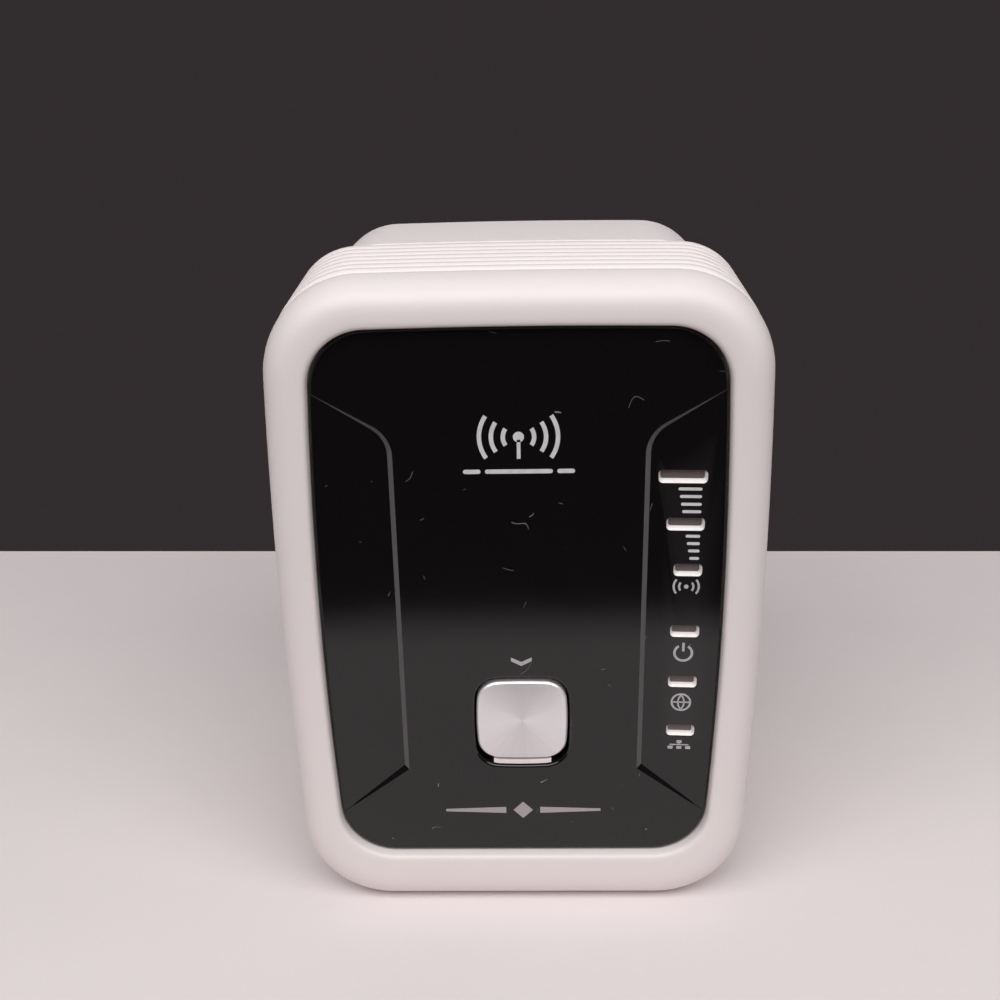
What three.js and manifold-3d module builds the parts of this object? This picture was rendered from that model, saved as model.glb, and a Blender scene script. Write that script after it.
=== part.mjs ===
// A plug-in wireless range extender with two network sockets, as an assembly of separate solids.
//
// While building, x points right as seen from the front, y points from the black front panel
// towards the wall outlet, and z points up. The zero point is the middle of the panel's face.
// The last lines move everything so that z = 0 is the resting face and the origin is the
// centre of the footprint. All lengths are in millimetres.

import * as THREE from 'three';
import { mergeVertices } from 'three/addons/utils/BufferGeometryUtils.js';
import Module from 'manifold-3d';

const wasm = await Module();
wasm.setup();

// ---------------------------------------------------------------------------
// Driving dimensions
// ---------------------------------------------------------------------------

const CLEARANCE = 0.3; // air between neighbouring pieces

// Glossy front panel.
const PANEL_HALF_WIDTH = 28.5;
const PANEL_HALF_HEIGHT = 41.1;
const PANEL_CORNER = 8.0;
const PANEL_THICKNESS = 1.9;
const SIDE_BOW = 1.3; // how far the long sides curve in at their ends
const END_BOW = 0.45; // the same for the top edge

// Front shell: a rounded frame around the panel, taller below it.
const FRAME_WIDTH = 6.5;
const CHIN = 3.0; // extra frame height below the panel
const CREST_OFFSET = 1.4; // from the panel's edge to the frame's foremost line
const CREST_Y = -1.5;
const FRAME_BACK_Y = 5.4;
const FRAME_CORNER_GROWTH = 0.85; // corner radius gained per millimetre of offset
const FRAME_ROUNDNESS = 2.6; // superellipse exponent of the frame's rounded section
const CHIN_ROUNDNESS = 4; // the same below the panel, where the section is squarer
const FRAME_STEPS = 6;
const SHELL_FLOOR_BACK_Y = 3.9;
const WALL = 1.9;
const TONGUE_THICKNESS = 1.5; // the tongue behind the frame fits inside the middle housing
const TONGUE_LENGTH = 3.1;

// Sunken wings at both sides of the panel: the right one's corners, mirrored for the left.
const WING_DEPTH = 0.7;
const WING_INNER_X = 17.1;
const WING_OUTER_X = 30; // beyond the panel's edge, so the wing runs out of it
const WING_BOTTOM_Z = [-26.4, -36]; // at the inner and at the outer edge
const WING_TOP_Z = [26.3, 34];
const WING_ROUNDING = [2.5, 4.3]; // where the top inner corner's curve starts, in x and z

// Ribbed middle housing.
const HOUSING_FRONT_Y = 6.0;
const HOUSING_BACK_Y = 29.3;
const HOUSING_CORNER_FRONT = 13.0;
const HOUSING_CORNER_BACK = 10.0;
const RIB_COUNT = 7;
const RIB_PITCH = 3.2;
const FIRST_RIB_Y = 8.8;
const RIB_CREST = 1.5;
const RIB_ROOT = 2.3;
const RIB_DEPTH = 0.8;
const VENT_COUNT = 5;
const VENT_ROWS_Z = [20.5, -30];
const VENT_LENGTH = 13;
const VENT_WIDTH = 0.8;
const SHOULDER_THICKNESS = 1.5;
const SHOULDER_INSET = 1.6; // from the rear cover's outside to the shoulder's inner edge

// Rear cover, narrower at the sides and level with the housing at the top and the bottom.
const COVER_FRONT_Y = 29.6;
const COVER_BACK_Y = 54.5;
const COVER_STEP = 3.0; // how much narrower than the housing on each side
const COVER_CORNER = 10.6;
const COVER_EDGE_RADIUS = 2.5;
const COVER_DRAFT = 0.3;

// Main circuit board and everything soldered to it.
const MAIN_BOARD_Y = 10.5;
const BOARD_THICKNESS = 1.6;
const MAIN_BOARD_BACK_Y = MAIN_BOARD_Y + BOARD_THICKNESS;
const MAIN_BOARD_TOP = 43;
const MAIN_BOARD_BOTTOM = -46.5;

// Network sockets: standard eight-way modular jacks facing down.
const JACK_CENTRES_X = [-9.5, 9.5];
const JACK_WIDTH = 16.0;
const JACK_DEPTH = 13.2;
const JACK_LENGTH = 16.0;
const JACK_HOLE_WIDTH = 11.8;
const JACK_HOLE_DEPTH = 8.0;
const JACK_HOLE_LENGTH = 13.5;
const JACK_HOLE_INSET = 2.6; // from the jack's front face to its hole
const JACK_KEYWAY_HALF_WIDTH = 3.1;
const JACK_FRONT_Y = MAIN_BOARD_BACK_Y + CLEARANCE;
const FINGER_COUNT = 8;
const FINGER_PITCH = 1.02;
const FINGER_WIDTH = 0.5;
const FINGER_LENGTH = 9;
const FINGER_THICKNESS = 0.35;
const FINGER_SLANT = 0.14; // radians

// Indicator windows, from the lowest to the highest: middle x, middle z and width.
const WINDOW_HEIGHT = 2.05;
const WINDOW_CORNER = 0.65;
const WINDOWS = [
  { name: 'lan', x: 23.45, z: -20.0, width: 4.25 },
  { name: 'wan', x: 23.45, z: -11.75, width: 4.25 },
  { name: 'power', x: 23.45, z: -3.5, width: 4.25 },
  { name: 'signal_low', x: 23.5, z: 6.15, width: 4.1 },
  { name: 'signal_mid', x: 22.9, z: 13.1, width: 5.35 },
  { name: 'signal_high', x: 22.3, z: 20.1, width: 6.75 },
];
const LIGHT_BAR_Y = [4.2, 5.4];
const LIGHT_BAR_X = 23.5;
const LIGHT_BAR_HALF_WIDTH = 1.5;
const LIGHT_FRONT_Y = 0.9;
const LED_WIDTH = 1.6;
const LED_HEIGHT = 0.8;
const LED_THICKNESS = 0.6;

// Pairing button.
const BUTTON_Z = -18.1;
const BUTTON_WIDTH = 13.5;
const BUTTON_HEIGHT = 13.2;
const BUTTON_CORNER = 3.3;
const BUTTON_SIDE_BOW = 0.5;
const BUTTON_END_BOW = 0.35;
const WELL_TOP_GAP = 0.75; // from the button to the edge of its opening
const WELL_BOTTOM_GAP = 1.15;
const COLLAR_WALL = 0.9; // black collar behind the panel, round the button
const BUTTON_FRONT_Y = 0.1;
const BUTTON_SKIN = 1.0;
const BUTTON_STEM_RADIUS = 2.0;
const TACT_BODY = 6.0;
const TACT_FRONT_Y = 7.0;
const TACT_PLUNGER_RADIUS = 1.7;
const TACT_PLUNGER_FRONT_Y = 6.0;
const SNAP_WIDTH = 4.0; // of the two legs that hold the button in
const SNAP_THICKNESS = 1.0;
const SNAP_LEG_OFFSET = 5.9; // up and down from the button's middle
const LEDGE_HALF_WIDTH = 4.3;
const SNAP_HOOK_LENGTH = 2.8;
const SNAP_HOOK_THICKNESS = 0.8;

// Side controls.
const CONTROL_Y = 14.4;
const MODE_SWITCH_Z = 8;
const POWER_SWITCH_Z = 8;
const RESET_Z = -14;
const KNOB_LENGTH = 3.0;
const KNOB_WIDTH = 1.8;
const MODE_TRAVEL = 2.0; // each way from the middle position
const POWER_TRAVEL = 2.0; // one way, down from "on"
const CONTROL_POCKET_DEPTH = 1.0;
const CONTROL_POCKET_WIDTH = 4.8;
const SWITCH_BODY_X = [26.2, 30.6];
const RESET_RADIUS = 0.9;
const RESET_BODY_X = [26, 30];
const CUT_REACH = 8; // length of a tool that cuts right through a side wall

// Wall plug: two flat blades.
const PLUG_Z = 12;
const PLUG_WIDTH = 30;
const PLUG_HEIGHT = 26;
const PLUG_FRONT_Y = 47;
const BLADE_SPACING = 12.7;
const BLADE_THICKNESS = 1.5;
const BLADE_WIDTH = 6.35;
const BLADE_LENGTH = 17;
const BLADE_INNER_LENGTH = 11;
const STRIP_THICKNESS = 0.5; // bent contact strip at each blade's inner end
const STRIP_REACH = 3; // past the blade's end, both ways
const STRIP_FOOT = 4;

// Power board behind the main board.
const POWER_BOARD_Y = 31.6;
const POWER_BOARD_BACK_Y = POWER_BOARD_Y + BOARD_THICKNESS;
const POWER_BOARD_TOP = 6;
const POWER_BOARD_BOTTOM = -45;

// Long assembly screws, driven in from the back.
const SCREW_POSTS = [
  { name: 'top_left', x: -23, z: 38.5 },
  { name: 'top_right', x: 23, z: 38.5 },
  { name: 'bottom_left', x: -24, z: -41 },
  { name: 'bottom_right', x: 24, z: -41 },
];
const POST_RADIUS = 3.1;
const SCREW_SHANK_RADIUS = 1.3;
const SCREW_HEAD_RADIUS = 2.6;
const POST_JOINT_Y = 27; // where the front posts meet the cover's posts
const SCREW_HEAD_Y = 36;

// Blank rating label in a shallow recess under the plug.
const LABEL_WIDTH = 38;
const LABEL_HEIGHT = 22;
const LABEL_Z = -20;
const LABEL_RECESS = 0.5;
const LABEL_THICKNESS = 0.2;

// Worked-out levels used by several pieces.
const BODY_HALF_WIDTH = PANEL_HALF_WIDTH + FRAME_WIDTH;
const BODY_TOP = PANEL_HALF_HEIGHT + FRAME_WIDTH;
const BODY_BOTTOM = -(PANEL_HALF_HEIGHT + FRAME_WIDTH + CHIN);
const BLADE_TIP_Y = COVER_BACK_Y + BLADE_LENGTH;

// ---------------------------------------------------------------------------
// Materials
// ---------------------------------------------------------------------------

function material(color, roughness, metalness = 0) {
  return new THREE.MeshStandardMaterial({ color, roughness, metalness });
}

const WHITE_PLASTIC = material(0xe9e3e1, 0.5);
const BLACK_GLOSS = material(0x121113, 0.08);
const SPUN_METAL = material(0xc9c7c8, 0.3, 0.9);
const CLEAR_PLASTIC = material(0xf1efec, 0.35);
const BOARD_GREEN = material(0x1f5a35, 0.5);
const CHIP_BLACK = material(0x1b1b1d, 0.55);
const TINNED_STEEL = material(0xb9bab8, 0.35, 0.9);
const GOLD_PLATE = material(0xc9a24a, 0.3, 0.9);
const NICKEL = material(0xc8c5bd, 0.25, 1.0);
const COPPER_FOIL = material(0xb8773f, 0.4, 0.8);
const LED_RESIN = material(0xe8e2b8, 0.4);
const TAPE_YELLOW = material(0xd8b13a, 0.5);
const SLEEVE_DARK = material(0x22303a, 0.45);
const CABLE_GREY = material(0x6f7072, 0.5);
const WIRE_RED = material(0xa8322b, 0.5);
const WIRE_BLACK = material(0x1c1c1e, 0.5);
const LABEL_FILM = material(0xd9d9d7, 0.6);

// ---------------------------------------------------------------------------
// Geometry helpers
// ---------------------------------------------------------------------------

const SIDE_STEPS = 3;
const CORNER_STEPS = 5;
const END_STEPS = 2;

// One quarter of a rounded rectangle whose sides bow outwards, from the middle of the side to
// the middle of the end. The corner arc touches both edges; a few corrections find its centre.
function quarterOutline(halfWidth, halfHeight, corner, sideBow, endBow) {
  const sideX = (z) => halfWidth - sideBow * (z / halfHeight) ** 2;
  const endZ = (x) => halfHeight - endBow * (x / halfWidth) ** 2;
  const CORRECTIONS = 12;
  let centreX = halfWidth - corner;
  let centreZ = halfHeight - corner;
  let sideTilt = 0;
  let endTilt = 0;
  for (let i = 0; i < CORRECTIONS; i += 1) {
    sideTilt = Math.atan(2 * sideBow * centreZ / halfHeight ** 2);
    endTilt = Math.atan(2 * endBow * centreX / halfWidth ** 2);
    centreX = sideX(centreZ + corner * Math.sin(sideTilt)) - corner * Math.cos(sideTilt);
    centreZ = endZ(centreX + corner * Math.sin(endTilt)) - corner * Math.cos(endTilt);
  }
  const arcStartZ = centreZ + corner * Math.sin(sideTilt);
  const arcEndX = centreX + corner * Math.sin(endTilt);
  const points = [];
  for (let i = 0; i < SIDE_STEPS; i += 1) {
    const z = arcStartZ * i / SIDE_STEPS;
    points.push(new THREE.Vector2(sideX(z), z));
  }
  for (let i = 0; i <= CORNER_STEPS; i += 1) {
    const angle = THREE.MathUtils.lerp(sideTilt, Math.PI / 2 - endTilt, i / CORNER_STEPS);
    const x = centreX + corner * Math.cos(angle);
    points.push(new THREE.Vector2(x, centreZ + corner * Math.sin(angle)));
  }
  for (let i = 1; i <= END_STEPS; i += 1) {
    const x = arcEndX * (1 - i / END_STEPS);
    points.push(new THREE.Vector2(x, endZ(x)));
  }
  return points;
}

// A whole bowed rectangle, anticlockwise as seen from the front.
function bowedOutline({ halfWidth, top, bottom, corner, sideBow, topBow, bottomBow }) {
  const upper = quarterOutline(halfWidth, top, corner, sideBow, topBow);
  const lower = quarterOutline(halfWidth, bottom, corner, sideBow, bottomBow);
  const flip = (points, sx, sz) => points.map((p) => new THREE.Vector2(p.x * sx, p.y * sz));
  return [
    ...upper.slice(0, -1),
    ...flip(upper, -1, 1).reverse().slice(0, -1),
    ...flip(lower, -1, -1).slice(0, -1),
    ...flip(lower, 1, -1).reverse().slice(0, -1),
  ];
}

// Skins a list of { outline, y } rings. An open list is closed with a flat cap at each end;
// a looped list joins its last ring to its first, which makes a tube-like frame.
function loft(rings, looped = false) {
  const count = rings[0].outline.length;
  const positions = [];
  const indices = [];
  for (const { outline, y } of rings) {
    for (const point of outline) positions.push(point.x, y, point.y);
  }
  const bands = looped ? rings.length : rings.length - 1;
  for (let ring = 0; ring < bands; ring += 1) {
    const near = ring * count;
    const far = ((ring + 1) % rings.length) * count;
    for (let i = 0; i < count; i += 1) {
      const next = (i + 1) % count;
      indices.push(near + i, far + i, far + next);
      indices.push(near + i, far + next, near + next);
    }
  }
  if (!looped) {
    const addCap = (ring, start, facesFront) => {
      const centre = positions.length / 3;
      positions.push(0, ring.y, 0);
      for (let i = 0; i < count; i += 1) {
        const next = (i + 1) % count;
        if (facesFront) indices.push(centre, start + i, start + next);
        else indices.push(centre, start + next, start + i);
      }
    };
    addCap(rings[0], 0, true);
    addCap(rings.at(-1), (rings.length - 1) * count, false);
  }
  const geometry = new THREE.BufferGeometry();
  geometry.setAttribute('position', new THREE.Float32BufferAttribute(positions, 3));
  geometry.setIndex(indices);
  return geometry;
}

function toSolid(geometry) {
  const bare = geometry.clone();
  bare.deleteAttribute('normal');
  bare.deleteAttribute('uv');
  const merged = mergeVertices(bare, 1e-5);
  return new wasm.Manifold(new wasm.Mesh({
    numProp: 3,
    vertProperties: new Float32Array(merged.attributes.position.array),
    triVerts: new Uint32Array(merged.index.array),
  }));
}

function toGeometry(solid) {
  const mesh = solid.getMesh();
  const geometry = new THREE.BufferGeometry();
  geometry.setAttribute('position', new THREE.Float32BufferAttribute(mesh.vertProperties, 3));
  geometry.setIndex(Array.from(mesh.triVerts));
  return geometry;
}

function carve(base, tools) {
  return toGeometry(tools.reduce((solid, tool) => solid.subtract(toSolid(tool)), toSolid(base)));
}

function fuse(pieces) {
  const [first, ...others] = pieces.map(toSolid);
  return toGeometry(others.reduce((solid, piece) => solid.add(piece), first));
}

function common(first, second) {
  return toGeometry(toSolid(first).intersect(toSolid(second)));
}

// A box given by its lowest and highest corners.
function block([x0, y0, z0], [x1, y1, z1]) {
  const geometry = new THREE.BoxGeometry(x1 - x0, y1 - y0, z1 - z0);
  return geometry.translate((x0 + x1) / 2, (y0 + y1) / 2, (z0 + z1) / 2);
}

// A box given by its middle and its sizes.
function blockAt(x, y, z, sizeX, sizeY, sizeZ) {
  return new THREE.BoxGeometry(sizeX, sizeY, sizeZ).translate(x, y, z);
}

// A round bar along y.
function bar(x, z, radius, y0, y1, sides = 12) {
  const geometry = new THREE.CylinderGeometry(radius, radius, y1 - y0, sides);
  return geometry.translate(x, (y0 + y1) / 2, z);
}

// A shape drawn in x and z, extruded along y.
function prism(shape, y0, y1, curveSegments = 4) {
  const settings = { depth: y1 - y0, bevelEnabled: false, curveSegments };
  return new THREE.ExtrudeGeometry(shape, settings).rotateX(Math.PI / 2).translate(0, y1, 0);
}

function roundedRectangle(x, z, width, height, radius) {
  const shape = new THREE.Shape();
  const right = x + width / 2;
  const left = x - width / 2;
  const top = z + height / 2;
  const bottom = z - height / 2;
  shape.moveTo(right, bottom + radius);
  shape.lineTo(right, top - radius);
  shape.absarc(right - radius, top - radius, radius, 0, Math.PI / 2);
  shape.lineTo(left + radius, top);
  shape.absarc(left + radius, top - radius, radius, Math.PI / 2, Math.PI);
  shape.lineTo(left, bottom + radius);
  shape.absarc(left + radius, bottom + radius, radius, Math.PI, 1.5 * Math.PI);
  shape.lineTo(right - radius, bottom);
  shape.absarc(right - radius, bottom + radius, radius, 1.5 * Math.PI, 2 * Math.PI);
  return shape;
}

// A round wire along a smooth curve through the given points.
function wire(points, radius, steps) {
  const SECTION_SIDES = 8;
  const section = new THREE.Shape();
  for (let i = 0; i < SECTION_SIDES; i += 1) {
    const angle = 2 * Math.PI * i / SECTION_SIDES;
    const corner = [radius * Math.cos(angle), radius * Math.sin(angle)];
    if (i === 0) section.moveTo(...corner);
    else section.lineTo(...corner);
  }
  const path = new THREE.CatmullRomCurve3(points.map((p) => new THREE.Vector3(...p)));
  return new THREE.ExtrudeGeometry(section, { steps, bevelEnabled: false, extrudePath: path });
}

// ---------------------------------------------------------------------------
// The assembly
// ---------------------------------------------------------------------------

const body = new THREE.Group();

function add(name, geometry, surface) {
  geometry.computeVertexNormals();
  const mesh = new THREE.Mesh(geometry, surface);
  mesh.name = name;
  body.add(mesh);
}

// The body's outline is straight along the bottom.
const BODY_BOWS = { sideBow: SIDE_BOW, topBow: END_BOW, bottomBow: 0 };

// An outline offset outwards from the panel's edge, with an extra drop below.
function panelOffset(offset, drop = 0, corner = PANEL_CORNER + FRAME_CORNER_GROWTH * offset) {
  return bowedOutline({
    halfWidth: PANEL_HALF_WIDTH + offset,
    top: PANEL_HALF_HEIGHT + offset,
    bottom: PANEL_HALF_HEIGHT + offset + drop,
    corner,
    ...BODY_BOWS,
  });
}

// The button's bowed outline along y, widened at the sides, above and below.
function buttonPrism(y0, y1, side = 0, above = 0, below = 0) {
  const outline = bowedOutline({
    halfWidth: BUTTON_WIDTH / 2 + side,
    top: BUTTON_HEIGHT / 2 + above,
    bottom: BUTTON_HEIGHT / 2 + below,
    corner: BUTTON_CORNER + side,
    sideBow: BUTTON_SIDE_BOW,
    topBow: BUTTON_END_BOW,
    bottomBow: BUTTON_END_BOW,
  });
  return prism(new THREE.Shape(outline), y0, y1).translate(0, 0, BUTTON_Z);
}

// The button's opening, or the same shape widened by a margin all round.
function buttonWell(y0, y1, margin = 0) {
  return buttonPrism(y0, y1, CLEARANCE + margin, WELL_TOP_GAP + margin, WELL_BOTTOM_GAP + margin);
}

// An indicator window's shape along y, narrowed by an inset all round.
function windowPrism({ x, z, width }, y0, y1, inset = 0) {
  const height = WINDOW_HEIGHT - 2 * inset;
  const corner = WINDOW_CORNER - inset;
  return prism(roundedRectangle(x, z, width - 2 * inset, height, corner), y0, y1, 3);
}

function buildFrontShell() {
  const pocketOffset = CLEARANCE;
  const pocketFloorY = PANEL_THICKNESS + CLEARANCE;
  const rings = [
    { outline: panelOffset(pocketOffset), y: pocketFloorY },
    { outline: panelOffset(pocketOffset), y: 0.2 },
  ];
  // The rounded outer section is a quarter of a superellipse from the crest to the back edge.
  const sweepWidth = FRAME_WIDTH - CREST_OFFSET;
  const sweepDepth = FRAME_BACK_Y - CREST_Y;
  for (let i = 0; i <= FRAME_STEPS; i += 1) {
    const angle = Math.PI / 2 * i / FRAME_STEPS;
    const out = Math.sin(angle) ** (2 / FRAME_ROUNDNESS);
    const back = 1 - Math.cos(angle) ** (2 / FRAME_ROUNDNESS);
    const outBelow = Math.sin(angle) ** (2 / CHIN_ROUNDNESS);
    const drop = CHIN * outBelow + sweepWidth * (outBelow - out);
    const outline = panelOffset(CREST_OFFSET + sweepWidth * out, drop);
    rings.push({ outline, y: CREST_Y + sweepDepth * back });
  }
  const tongueOuter = FRAME_WIDTH - WALL - CLEARANCE;
  const tongueInner = tongueOuter - TONGUE_THICKNESS;
  const tongueBackY = FRAME_BACK_Y + TONGUE_LENGTH;
  rings.push({ outline: panelOffset(tongueOuter, CHIN), y: FRAME_BACK_Y });
  rings.push({ outline: panelOffset(tongueOuter, CHIN), y: tongueBackY });
  rings.push({ outline: panelOffset(tongueInner, CHIN), y: tongueBackY });
  rings.push({ outline: panelOffset(tongueInner, CHIN), y: SHELL_FLOOR_BACK_Y });

  const postFrontY = SHELL_FLOOR_BACK_Y - 0.5;
  const posts = SCREW_POSTS.map(({ x, z }) => bar(x, z, POST_RADIUS, postFrontY, POST_JOINT_Y));
  const through = [pocketFloorY - 1, SHELL_FLOOR_BACK_Y + 1];
  const holes = [buttonWell(...through, COLLAR_WALL + CLEARANCE)];
  for (const window of WINDOWS) {
    holes.push(windowPrism(window, ...through));
  }
  for (const { x, z } of SCREW_POSTS) {
    holes.push(bar(x, z, SCREW_SHANK_RADIUS + CLEARANCE, SHELL_FLOOR_BACK_Y + 4, POST_JOINT_Y + 1));
  }
  add('front_shell', carve(fuse([loft(rings), ...posts]), holes), WHITE_PLASTIC);
}

function buildFrontPanel() {
  const EDGE_CHAMFER = 0.25;
  const plate = loft([
    { outline: panelOffset(-EDGE_CHAMFER), y: 0 },
    { outline: panelOffset(0), y: EDGE_CHAMFER },
    { outline: panelOffset(0), y: PANEL_THICKNESS },
  ]);
  // Each wing's floor rises to nothing at the panel's edge.
  const aboveFace = -2;
  const wingFloor = new THREE.Shape([
    new THREE.Vector2(WING_INNER_X - 1, aboveFace),
    new THREE.Vector2(WING_OUTER_X, aboveFace),
    new THREE.Vector2(WING_OUTER_X, -0.1),
    new THREE.Vector2(WING_INNER_X - 1, WING_DEPTH),
  ]);
  const WEDGE_LENGTH = 80;
  const wedge = new THREE.ExtrudeGeometry(wingFloor, { depth: WEDGE_LENGTH, bevelEnabled: false });
  wedge.translate(0, 0, -WEDGE_LENGTH / 2);
  const wingOutline = new THREE.Shape();
  const topSlope = (WING_TOP_Z[1] - WING_TOP_Z[0]) / (WING_OUTER_X - WING_INNER_X);
  const curveStartZ = WING_TOP_Z[0] - WING_ROUNDING[1];
  const curveEndZ = WING_TOP_Z[0] + topSlope * WING_ROUNDING[0];
  wingOutline.moveTo(WING_INNER_X, curveStartZ);
  wingOutline.lineTo(WING_INNER_X, WING_BOTTOM_Z[0]);
  wingOutline.lineTo(WING_OUTER_X, WING_BOTTOM_Z[1]);
  wingOutline.lineTo(WING_OUTER_X, WING_TOP_Z[1]);
  wingOutline.lineTo(WING_INNER_X + WING_ROUNDING[0], curveEndZ);
  wingOutline.quadraticCurveTo(WING_INNER_X, WING_TOP_Z[0], WING_INNER_X, curveStartZ);
  const rightWing = common(wedge, prism(wingOutline, aboveFace, PANEL_THICKNESS));
  const leftWing = toGeometry(toSolid(rightWing).mirror([1, 0, 0]));
  const holes = [rightWing, leftWing];
  holes.push(buttonWell(-1, SHELL_FLOOR_BACK_Y + 1));
  for (const window of WINDOWS) {
    holes.push(windowPrism(window, -1, PANEL_THICKNESS + 1));
  }
  const collar = buttonWell(PANEL_THICKNESS - 0.5, SHELL_FLOOR_BACK_Y, COLLAR_WALL);
  add('front_panel', carve(fuse([plate, collar]), holes), BLACK_GLOSS);
}

function buildPairingButton() {
  const capBackY = BUTTON_FRONT_Y + BUTTON_SKIN;
  add('wps_button_cap', buttonPrism(BUTTON_FRONT_Y, capBackY), SPUN_METAL);

  // The carrier is a plate with a stem that reaches the switch. Ledges fill the opening above
  // and below the cap; only the lower one comes forward, and it follows the cap's curved edge.
  const plateY = [capBackY + CLEARANCE, capBackY + 1.4];
  const ledgeAbove = WELL_TOP_GAP - CLEARANCE;
  const ledgeBelow = WELL_BOTTOM_GAP - CLEARANCE;
  const ledgeReach = BUTTON_HEIGHT / 2 + WELL_BOTTOM_GAP;
  const ledges = common(
    block(
      [-LEDGE_HALF_WIDTH, plateY[0], BUTTON_Z - ledgeReach],
      [LEDGE_HALF_WIDTH, plateY[1], BUTTON_Z + ledgeReach],
    ),
    buttonPrism(plateY[0] - 1, plateY[1] + 1, 0, ledgeAbove, ledgeBelow),
  );
  const frontLedge = carve(
    common(
      block(
        [-LEDGE_HALF_WIDTH, BUTTON_FRONT_Y, BUTTON_Z - ledgeReach],
        [LEDGE_HALF_WIDTH, plateY[1], BUTTON_Z],
      ),
      buttonPrism(BUTTON_FRONT_Y - 1, plateY[1] + 1, 0, ledgeAbove, ledgeBelow),
    ),
    [buttonPrism(BUTTON_FRONT_Y - 1, plateY[0], CLEARANCE, CLEARANCE, CLEARANCE)],
  );
  const stemFrontY = plateY[1] - 0.4;
  const stem = bar(0, BUTTON_Z, BUTTON_STEM_RADIUS, stemFrontY, TACT_PLUNGER_FRONT_Y - CLEARANCE);
  // Two snap legs hook behind the panel's collar, so the button can't fall out.
  const hookY = SHELL_FLOOR_BACK_Y + CLEARANCE;
  const legLength = hookY - plateY[1] + SNAP_HOOK_THICKNESS;
  const legY = (plateY[1] + hookY) / 2;
  const hookOffset = SNAP_LEG_OFFSET + (SNAP_HOOK_LENGTH - SNAP_THICKNESS) / 2;
  const hookMiddleY = hookY + SNAP_HOOK_THICKNESS / 2;
  const snaps = [-1, 1].flatMap((side) => {
    const legZ = BUTTON_Z + side * SNAP_LEG_OFFSET;
    const hookZ = BUTTON_Z + side * hookOffset;
    return [
      blockAt(0, legY, legZ, SNAP_WIDTH, legLength, SNAP_THICKNESS),
      blockAt(0, hookMiddleY, hookZ, SNAP_WIDTH, SNAP_HOOK_THICKNESS, SNAP_HOOK_LENGTH),
    ];
  });
  const plate = buttonPrism(...plateY);
  add('wps_button_carrier', fuse([plate, ledges, frontLedge, stem, ...snaps]), WHITE_PLASTIC);

  const wellBackY = TACT_PLUNGER_FRONT_Y + 3.2;
  const switchBody = block(
    [-TACT_BODY / 2, TACT_FRONT_Y, BUTTON_Z - TACT_BODY / 2],
    [TACT_BODY / 2, MAIN_BOARD_Y - CLEARANCE, BUTTON_Z + TACT_BODY / 2],
  );
  const plungerWell = bar(0, BUTTON_Z, TACT_PLUNGER_RADIUS + CLEARANCE, TACT_FRONT_Y - 1, wellBackY);
  add('wps_switch_body', carve(switchBody, [plungerWell]), CHIP_BLACK);
  const plungerBackY = wellBackY - 0.7;
  const plunger = bar(0, BUTTON_Z, TACT_PLUNGER_RADIUS, TACT_PLUNGER_FRONT_Y, plungerBackY);
  add('wps_switch_plunger', plunger, WHITE_PLASTIC);
}

function buildLights() {
  const ledBackY = MAIN_BOARD_Y - CLEARANCE;
  const ledFrontY = ledBackY - LED_THICKNESS;
  const barEnd = 1; // the bar reaches this far past the outermost windows
  const stubHalf = 0.6;
  const spine = block(
    [LIGHT_BAR_X - LIGHT_BAR_HALF_WIDTH, LIGHT_BAR_Y[0], WINDOWS[0].z - barEnd],
    [LIGHT_BAR_X + LIGHT_BAR_HALF_WIDTH, LIGHT_BAR_Y[1], WINDOWS.at(-1).z + barEnd],
  );
  const pieces = [spine];
  for (const { name, x, z, width } of WINDOWS) {
    const left = LIGHT_BAR_X - LED_WIDTH / 2;
    const right = LIGHT_BAR_X + LED_WIDTH / 2;
    pieces.push(windowPrism({ x, z, width }, LIGHT_FRONT_Y, LIGHT_BAR_Y[1], CLEARANCE));
    pieces.push(block(
      [left, LIGHT_BAR_Y[1] - 0.2, z - stubHalf],
      [right, ledFrontY - CLEARANCE, z + stubHalf],
    ));
    const led = block([left, ledFrontY, z - LED_HEIGHT / 2], [right, ledBackY, z + LED_HEIGHT / 2]);
    add(`led_${name}`, led, LED_RESIN);
  }
  add('light_guide', fuse(pieces), CLEAR_PLASTIC);
}

// Offset of the housing's inner wall from the panel's edge.
const HOUSING_INNER = FRAME_WIDTH - WALL;

function housingOutline(offset, y) {
  const along = (y - HOUSING_FRONT_Y) / (HOUSING_BACK_Y - HOUSING_FRONT_Y);
  const corner = THREE.MathUtils.lerp(HOUSING_CORNER_FRONT, HOUSING_CORNER_BACK, along);
  return panelOffset(offset, CHIN, corner - (FRAME_WIDTH - offset));
}

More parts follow.
